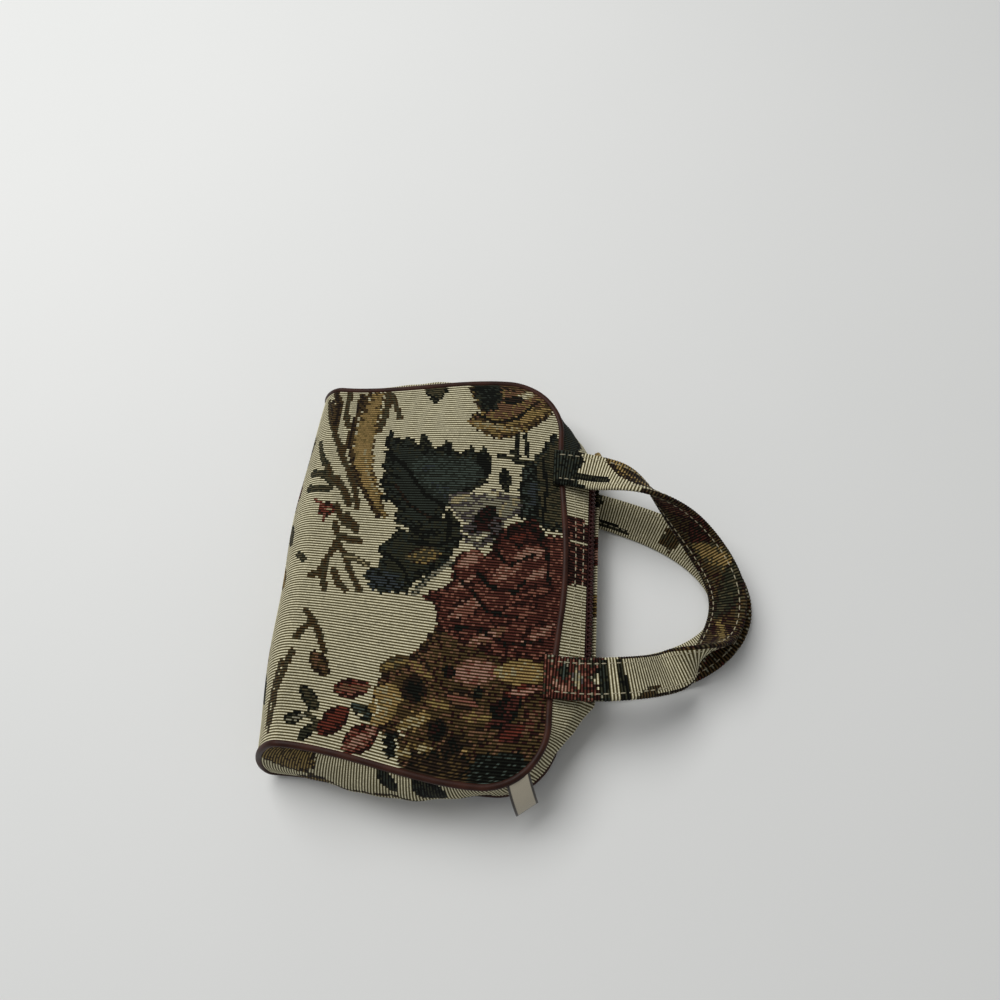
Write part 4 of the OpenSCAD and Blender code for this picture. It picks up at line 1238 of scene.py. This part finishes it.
# %% Gusset stitches
# Rows of thread lie at part columns of the grid, and the bars reach one column past the opening.
STITCH_COLUMNS = (SLOT_FIRST - 1.4, SLOT_FIRST - 4.6, SLOT_LAST + 1.6)
BAR_ROWS = (slot_rows[0] - 1.4, slot_rows[-1] + 1.4)
BAR_STEP, BAR_STITCH = 2.0, 1.6


def on_strip(rows, column):
    """Points on the gusset's outer face at part rows of a part column, by mixing the grid's points."""
    i, j = np.floor(rows).astype(int), int(np.floor(column))
    a = mix(gusset_points[i, j], gusset_points[i, j + 1], column - j)
    b = mix(gusset_points[i + 1, j], gusset_points[i + 1, j + 1], column - j)
    return mix(a, b, (rows - i)[:, None])


starts, ends, ups = [], [], []
for column in STITCH_COLUMNS:
    rows = np.arange(slot_rows[0] - 2.0, slot_rows[-1] + 2.0, STITCH_STEP / RIB)
    starts.append(on_strip(rows, column))
    ends.append(on_strip(rows + STITCH / RIB, column))
    ups.append(strip_out[rows.astype(int), int(column)])
for row in BAR_ROWS:
    for column in np.arange(SLOT_FIRST - 1.0, SLOT_LAST + 1, BAR_STEP):
        starts.append(on_strip(np.array([row]), column))
        ends.append(on_strip(np.array([row]), column + BAR_STITCH))
        ups.append(strip_out[[int(row)], int(column)])
starts, ends, ups = [np.concatenate(parts) for parts in (starts, ends, ups)]
make_stitches("gusset_stitches", starts, ends, ups, "tapestry")
print("gusset stitches:", len(starts))

# %% [markdown]
# ## The zip's tapes
# Two woven tapes carry the teeth. They could be flat strips, but real tapes turn in under
# the gusset's folded edges and hide their own edges there, so each tape is a thin band along
# a line that bends at the fold.

# %% Tape weave
# Woven polyester has a faint sheen over a fine herringbone. Real threads are some 0.3 mm apart, too fine to
# show, so they are drawn 0.55 mm apart: stripes along the tape whose slant turns every 1.5 mm.
zip_weave, tree, shader = new_finish("wine woven polyester tape", Roughness=0.75, Sheen_Weight=0.15)
TAPE_THREAD, HERRINGBONE = 0.55, 1.5
rib_map = add(tree, "SeparateXYZ", [add(tree, "UVMap", uv_map="rib")]).outputs
slant = add(tree, "Math", [rib_map["Y"], HERRINGBONE], operation="PINGPONG")
slanted = add(tree, "Math", [rib_map["X"], slant], operation="ADD")
thread_turn = add(tree, "Math", [slanted, 2 * np.pi / TAPE_THREAD], operation="MULTIPLY")
thread = add(tree, "Math", [thread_turn], operation="SINE")
# The stripes are painted shade: each thread is lighter on its crest and darker between, in step with the
# bump.
thread_shade_level = add(tree, "MapRange", [thread, -1.0, 1.0])
shade = add(tree, "Mix", {"Factor": thread_shade_level, "A": srgb("#2f1311"), "B": srgb("#552a25")}, data_type="RGBA")
fill(tree, shader, {
    "Base Color": shade,
    "Normal": add(tree, "Bump", {"Height": thread, "Strength": 0.4, "Distance": 0.1 * MM}),
})
print("threads per 10 mm of tape:", round(10 / TAPE_THREAD))

# %% Zip tapes
# These are the tape's depth below the opening's edge, its thickness, its gap beside the middle, the
# length that is turned in, its gap at the ends, its rings, the points across it, and the UV map's
# millimetres from point to point.
TAPE_DEPTH, TAPE_T, TAPE_INNER, TURN_IN, TAPE_END = 1.1, 0.7, 0.6, 3.0, 0.3
TAPE_RINGS, TAPE_POINTS, TAPE_UV_STEP = 130, 6, 0.8


def tape_line(side, y, depth):
    """Across a tape: flat from the teeth to the fold under the gusset's edge, then 3 mm along the strip."""
    panel, edge = (FRONT, FRONT_EDGE) if side > 0 else (BACK, BACK_EDGE)
    far = half_seam(panel, 3 - np.abs(y) / top_half(FRONT))
    slope = unit((far - edge) * np.array([1, 0, 1]))
    face = np.stack([slope[:, 2], 0 * y, -slope[:, 0]], -1) * side
    fold = edge - (ZIP_FACE + face) * depth / (1 + face @ ZIP_FACE)[:, None]
    start = np.broadcast_to(ZIP_MID + ZIP_UP * side * TAPE_INNER - ZIP_FACE * depth, fold.shape)
    t = np.linspace(0, 1, TAPE_POINTS)[:, None]
    flat, turned = mix(start[:, None], fold[:, None], t), fold[:, None] + slope[:, None] * TURN_IN * t[1:]
    line = np.concatenate([flat, turned], 1)
    line[..., 1] = y[:, None]
    return line


for side, name, node in ((1, "tape_front", "zip_tape_front"), (-1, "tape_back", "zip_tape_back")):
    y = np.linspace(-ZIP_LENGTH / 2 + TAPE_END, ZIP_LENGTH / 2 - TAPE_END, TAPE_RINGS)
    outer, inner = tape_line(side, y, TAPE_DEPTH), tape_line(side, y, TAPE_DEPTH + TAPE_T)
    rings = np.concatenate([outer, inner[:, ::-1]], 1)
    closed = np.broadcast_to(rings[[0, -1]].mean(1, keepdims=True), rings[[0, -1]].shape)
    rings = np.concatenate([closed[:1], rings, closed[1:]])
    round_tape, along_tape = np.meshgrid(
        np.arange(rings.shape[1] + 1) * TAPE_UV_STEP, np.concatenate([y[:1], y, y[-1:]]))
    piece = make_piece(name, rings, quads(len(rings), rings.shape[1], wrap=True), zip_weave, "zip_tape",
                       uv=corners(np.stack([along_tape, round_tape], -1)), flip=side < 0)
    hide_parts(node)
print("tapes from", round(y[0], 1), "to", round(y[-1], 1), "mm")

# %% [markdown]
# ## The zip's teeth
# Moulded nylon teeth mesh in the middle, each row on a bead along its tape. A tooth could be a bevelled box,
# but a superellipsoid is a rounded block from one formula, which keeps a tooth to a few dozen faces and
# catches the light on its shoulders.

# %% Nylon
# Moulded nylon has soft highlights on a colour that varies a little from tooth to tooth.
nylon, tree, shader = new_finish("wine moulded nylon", Roughness=0.5, Specular_IOR_Level=0.3, IOR=1.53)
cloud = mottle(tree, shader, 3, "#2e110f", "#50211c")
fill(tree, shader, {"Normal": add(tree, "Bump", {"Height": cloud, "Strength": 0.1, "Distance": 0.1 * MM})})
BLOCK_RINGS, BLOCK_SIDES, BLOCK_POWER = 7, 10, 0.45


def rounded_blocks(middles, axes, halves):
    """Superellipsoids: each coordinate is half size times sign(c) |c|^power of a sphere's sine or cosine."""
    lift, turn = np.meshgrid(np.linspace(-np.pi / 2, np.pi / 2, BLOCK_RINGS),
                             np.linspace(0, 2 * np.pi, BLOCK_SIDES, endpoint=False), indexing="ij")
    soft = lambda c: np.sign(c) * np.abs(c) ** BLOCK_POWER
    wide = soft(np.cos(lift))
    local = np.stack([wide * soft(np.cos(turn)), wide * soft(np.sin(turn)), soft(np.sin(lift))], -1) * halves
    one = quads(BLOCK_RINGS, BLOCK_SIDES, wrap=True)
    faces = (one[None] + np.arange(len(middles))[:, None, None] * lift.size).reshape(-1, 4)
    return (middles[:, None, None] + local @ axes).reshape(-1, 3), faces


print("faces a tooth:", len(quads(BLOCK_RINGS, BLOCK_SIDES, wrap=True)))

# %% Zip teeth
# The chain's lower and upper face, the teeth's pitch, their half sizes along,
# across and out, and their offset.
CHAIN, TOOTH_PITCH, TOOTH_HALF, TOOTH_OUT = np.array([-1.05, 0.85]), 2.4, (0.52, 1.55, 0.95), 0.9
# The first tooth's distance from the chain's end on the front and on the back, half
# a pitch apart, and the last's.
FIRST_TOOTH, LAST_GAP = {1: 0.65, -1: 1.85}, 0.5
# The bead's rings and sides, its place above the chain's lower face and beside the
# middle, and its two half sizes.
BEAD_RINGS, BEAD_SIDES, BEAD_UP, BEAD_OUT, BEAD_HALF = 60, 10, 0.6, 2.0, (0.5, 0.55)
along_zip = np.array([0, 1, 0])
for side, name, node in ((1, "teeth_front", "zip_teeth_front"), (-1, "teeth_back", "zip_teeth_back")):
    low, high = [corner.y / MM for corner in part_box(node)]
    y = np.arange(low + FIRST_TOOTH[side], high - LAST_GAP, TOOTH_PITCH)
    base = ZIP_MID + ZIP_FACE * CHAIN.mean() + np.outer(y, along_zip)
    axes = np.array([along_zip, ZIP_UP * side, ZIP_FACE])
    teeth, tooth_faces = rounded_blocks(base + ZIP_UP * side * TOOTH_OUT, axes, TOOTH_HALF)
    bead_mid = ZIP_MID + ZIP_FACE * (CHAIN[0] + BEAD_UP) + ZIP_UP * side * BEAD_OUT
    bead_mid = bead_mid + np.outer(np.linspace(low, high, BEAD_RINGS), along_zip)
    turn = np.linspace(0, 2 * np.pi, BEAD_SIDES, endpoint=False)[:, None]
    bead = bead_mid[:, None] + (ZIP_UP * np.cos(turn) * BEAD_HALF[0] + ZIP_FACE * np.sin(turn) * BEAD_HALF[1])
    bead[0], bead[-1] = bead_mid[0], bead_mid[-1]
    points = np.concatenate([teeth, bead.reshape(-1, 3)])
    faces = np.concatenate([tooth_faces, quads(BEAD_RINGS, BEAD_SIDES, wrap=True) + len(teeth)])
    piece = make_piece(name, points, faces, nylon, "zip_teeth", flip=side < 0)
    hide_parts(node)
print("teeth on each tape:", len(y))

# %% [markdown]
# ## Slider, pull and stops
# These are die-cast zinc with a brass plate that has aged. The CAD solids have the right
# shapes, so copies of them are merged and given small bevels, because real castings have soft
# edges that carry a line of light.

# %% Brass
# Old plate gives warm reflections that turn brown and dull where tarnish has spread in spots of about 4 mm.
old_brass, tree, shader = new_finish("aged brass plate", Metallic=1.0, Roughness=0.36)
TARNISH = 4
place = add(tree, "TexCoord").outputs["Object"]
tarnish = add(
    tree, "TexNoise", {"Vector": place, "Scale": 1 / (TARNISH * MM), "Detail": 5.0, "Roughness": 0.65})
spread = add(tree, "MapRange", [tarnish, 0.35, 0.7])
shade = add(tree, "Mix", {"Factor": spread, "A": srgb("#b59a5e"), "B": srgb("#6d5836")}, data_type="RGBA")
fill(tree, shader, {
    "Base Color": shade,
    "Roughness": add(tree, "MapRange", [tarnish, 0.2, 0.8, 0.28, 0.5]),
    "Normal": add(tree, "Bump", {"Height": tarnish, "Strength": 0.15, "Distance": 0.05 * MM}),
})
print("nodes in the brass:", len(tree.nodes))

# %% Zip metal
# Each casting has its CAD node, the body that it moves with, and the width of its soft edges.
CASTINGS = (("zip_slider", "slider", 0.16), ("zip_pull", "pull", 0.18), ("zip_top_stops", "bag", 0.2),
            ("zip_bottom_stop", "bag", 0.2))
for node, body, soften in CASTINGS:
    casting = bmesh.new()
    casting.from_mesh(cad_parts[node].data)
    bmesh.ops.remove_doubles(casting, verts=casting.verts, dist=1e-6)
    bmesh.ops.dissolve_limit(casting, angle_limit=0.02, verts=casting.verts, edges=casting.edges)
    mesh = bpy.data.meshes.new(node + "_metal")
    casting.to_mesh(mesh)
    casting.free()
    mesh.polygons.foreach_set("use_smooth", np.ones(len(mesh.polygons), bool))
    mesh.materials.clear()
    mesh.materials.append(old_brass)
    piece = bpy.data.objects.new(node + "_metal", mesh)
    scene.collection.objects.link(piece)
    bevel = piece.modifiers.new("soft edges", "BEVEL")
    bevel.width, bevel.segments, bevel.harden_normals = soften * MM, 2, True
    bevel.limit_method, bevel.angle_limit = "ANGLE", np.radians(30)
    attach(piece, body)
    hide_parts(node)
    print(node, "faces:", len(mesh.polygons))

# %% [markdown]
# ## Label
# A folded ribbon is caught in the front seam at the near corner and droops from it. It is bare, with two
# dark woven edges and painted shade along its fold. A plane with a curve modifier could bend it, but the
# straps' own flat section, carried along a drooping line, gives it edges and thickness at once.

# %% Ribbon
# Satin ribbon has a soft sheen over weft lines, which are drawn 0.5 mm apart so that they show.
ribbon, tree, shader = new_finish("satin woven ribbon", Roughness=0.55, Sheen_Weight=0.2)
# It turns dark between these distances, in millimetres: at its woven edges from its middle line, and with
# painted shade at its fold from its seam.
WEFT, DARK_EDGE, FOLD_SHADE = 0.5, (4.6, 5.0), (19.3, 19.7)
rib_map = add(tree, "SeparateXYZ", [add(tree, "UVMap", uv_map="rib")]).outputs
from_middle = add(tree, "Math", [rib_map["X"]], operation="ABSOLUTE")
dark_edge = add(tree, "MapRange", [from_middle, *DARK_EDGE], interpolation_type="SMOOTHSTEP")
fold_shade = add(tree, "MapRange", [rib_map["Y"], *FOLD_SHADE, 0.0, 0.8], interpolation_type="SMOOTHSTEP")
dark = add(tree, "Math", [dark_edge, fold_shade], operation="MAXIMUM")
weft_turn = add(tree, "Math", [rib_map["Y"], 2 * np.pi / WEFT], operation="MULTIPLY")
weft = add(tree, "Math", [weft_turn], operation="SINE")
# The weft lines are painted shade: each is lighter on its crest and darker between, in step with the bump.
thread_shade_level = add(tree, "MapRange", [weft, -1.0, 1.0])
pale = add(tree, "Mix", {"Factor": thread_shade_level, "A": srgb("#a39a86"), "B": srgb("#c4baa4")}, data_type="RGBA")
fill(tree, shader, {
    "Base Color": add(tree, "Mix", {"Factor": dark, "A": pale, "B": srgb("#2c241c")}, data_type="RGBA"),
    "Normal": add(tree, "Bump", {"Height": weft, "Strength": 0.3, "Distance": 0.08 * MM}),
})
print("weft lines per 10 mm of ribbon:", round(10 / WEFT))

# %% Label piece
# The label leaves the near corner's arc 55 degrees round from the top, heads
# for 72, and droops from 35 to 75.
LABEL_AT, LABEL_LEAN, DROOP_FROM, DROOP_TO = 55, 72, 35, 75
LABEL_W, LABEL_T, LABEL_LONG, LABEL_CELLS, LABEL_POINTS = 12, 0.6, 20.5, 20, 40
LABEL_OUT, FLUTTER, LABEL_UV = 1.2, 0.35, 20
UP = np.array([0, 0, 1])


def near_corner_way(degrees):
    """The level direction out of the near corner, at an angle from straight off the top towards the side."""
    a = np.radians(90 - degrees)
    return np.array([np.sin(a), -np.cos(a), 0])


label_out, label_way = near_corner_way(LABEL_AT), near_corner_way(LABEL_LEAN)
label_side = np.cross(UP, label_out)
droop = np.radians(np.linspace(DROOP_FROM, DROOP_TO, LABEL_POINTS))[:, None]
way = label_way * np.cos(droop) - UP * np.sin(droop)
root = seam(FRONT, np.array([4 + LABEL_AT / 90]))[0] + label_out * LABEL_OUT
rail = root + np.concatenate([np.zeros((1, 3)), np.cumsum(way[:-1] * LABEL_LONG / (LABEL_POINTS - 1), 0)])
face = unit(np.cross(label_side, way))
flutter = FLUTTER * np.sin(np.linspace(0, 5, LABEL_POINTS))[:, None]
label_section = band_section(LABEL_W, LABEL_T, LABEL_CELLS)
rings = carry_band(rail + face * flutter, np.broadcast_to(label_side, rail.shape), face, label_section)
label_down = np.concatenate([[0], np.linspace(0, LABEL_UV, LABEL_POINTS), [LABEL_UV]])
label_uv = np.stack(np.meshgrid(np.append(label_section[:, 0], label_section[0, 0]), label_down), -1)
label = make_piece("label_ribbon", rings, quads(len(rings), len(label_section), wrap=True), ribbon,
                   "label_ribbon", uv=corners(label_uv))
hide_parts("side_label")
print("label end at mm:", rail[-1].round(1))

# %% [markdown]
# ## Lining
# A thin lining hangs inside the bag and shows only where the zip parts. It could be the
# panel's own mesh made thicker, but a looser grid on the same formulas, a little further in,
# is lighter and has its own finish.

# %% Lining
# Taffeta has a faint lustre, and slubs in its thread show as small uneven flecks.
lining_cloth, tree, shader = new_finish("thin brown lining taffeta", Roughness=0.6, Sheen_Weight=0.3)
slub = mottle(tree, shader, 1.2, "#332a27", "#4a3e39")
fill(tree, shader, {"Normal": add(tree, "Bump", {"Height": slub, "Strength": 0.2, "Distance": 0.1 * MM})})
# The lining's distance from the seams and from the cloth, its grid's columns and rows, and its strip's grid.
LINING_INSET, LINING_GAP, LINING_GRID = 4.1, 1.5, (60, 36, 18, 40)
LINING_STEP, LINING_CELLS, LINING_EDGE = 5.0, (4, 4, 5), 2
inner = panel_surface(LINING_GRID[0], LINING_INSET, *LINING_GRID[1:])
inner = inner + outward_of(inner) * LINING_GAP
s, _, _, inner_strip = gusset_grid(LINING_INSET, LINING_STEP, LINING_CELLS)
inner_strip = inner_strip - outward_of(inner_strip) * LINING_GAP
kept = np.ones((s.shape[0] - 1, s.shape[1] - 1), bool)
kept[(s[:-1, 0] > SLOT_END) & (s[1:, 0] < 6 - SLOT_END), LINING_EDGE:-LINING_EDGE] = False
points = np.concatenate([inner.reshape(-1, 3), inner_strip.reshape(-1, 3)])
strip_faces = quads(*s.shape)[kept.ravel()][:, ::-1] + inner.shape[0] * inner.shape[1]
faces = np.concatenate([quads(*inner.shape[:2]), strip_faces])
lining = make_piece("lining_cloth", points, faces, lining_cloth, "lining_cloth")
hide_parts("lining")
area = cloth_area(lining)
print("lining of", round(area * 1e4), "square cm")
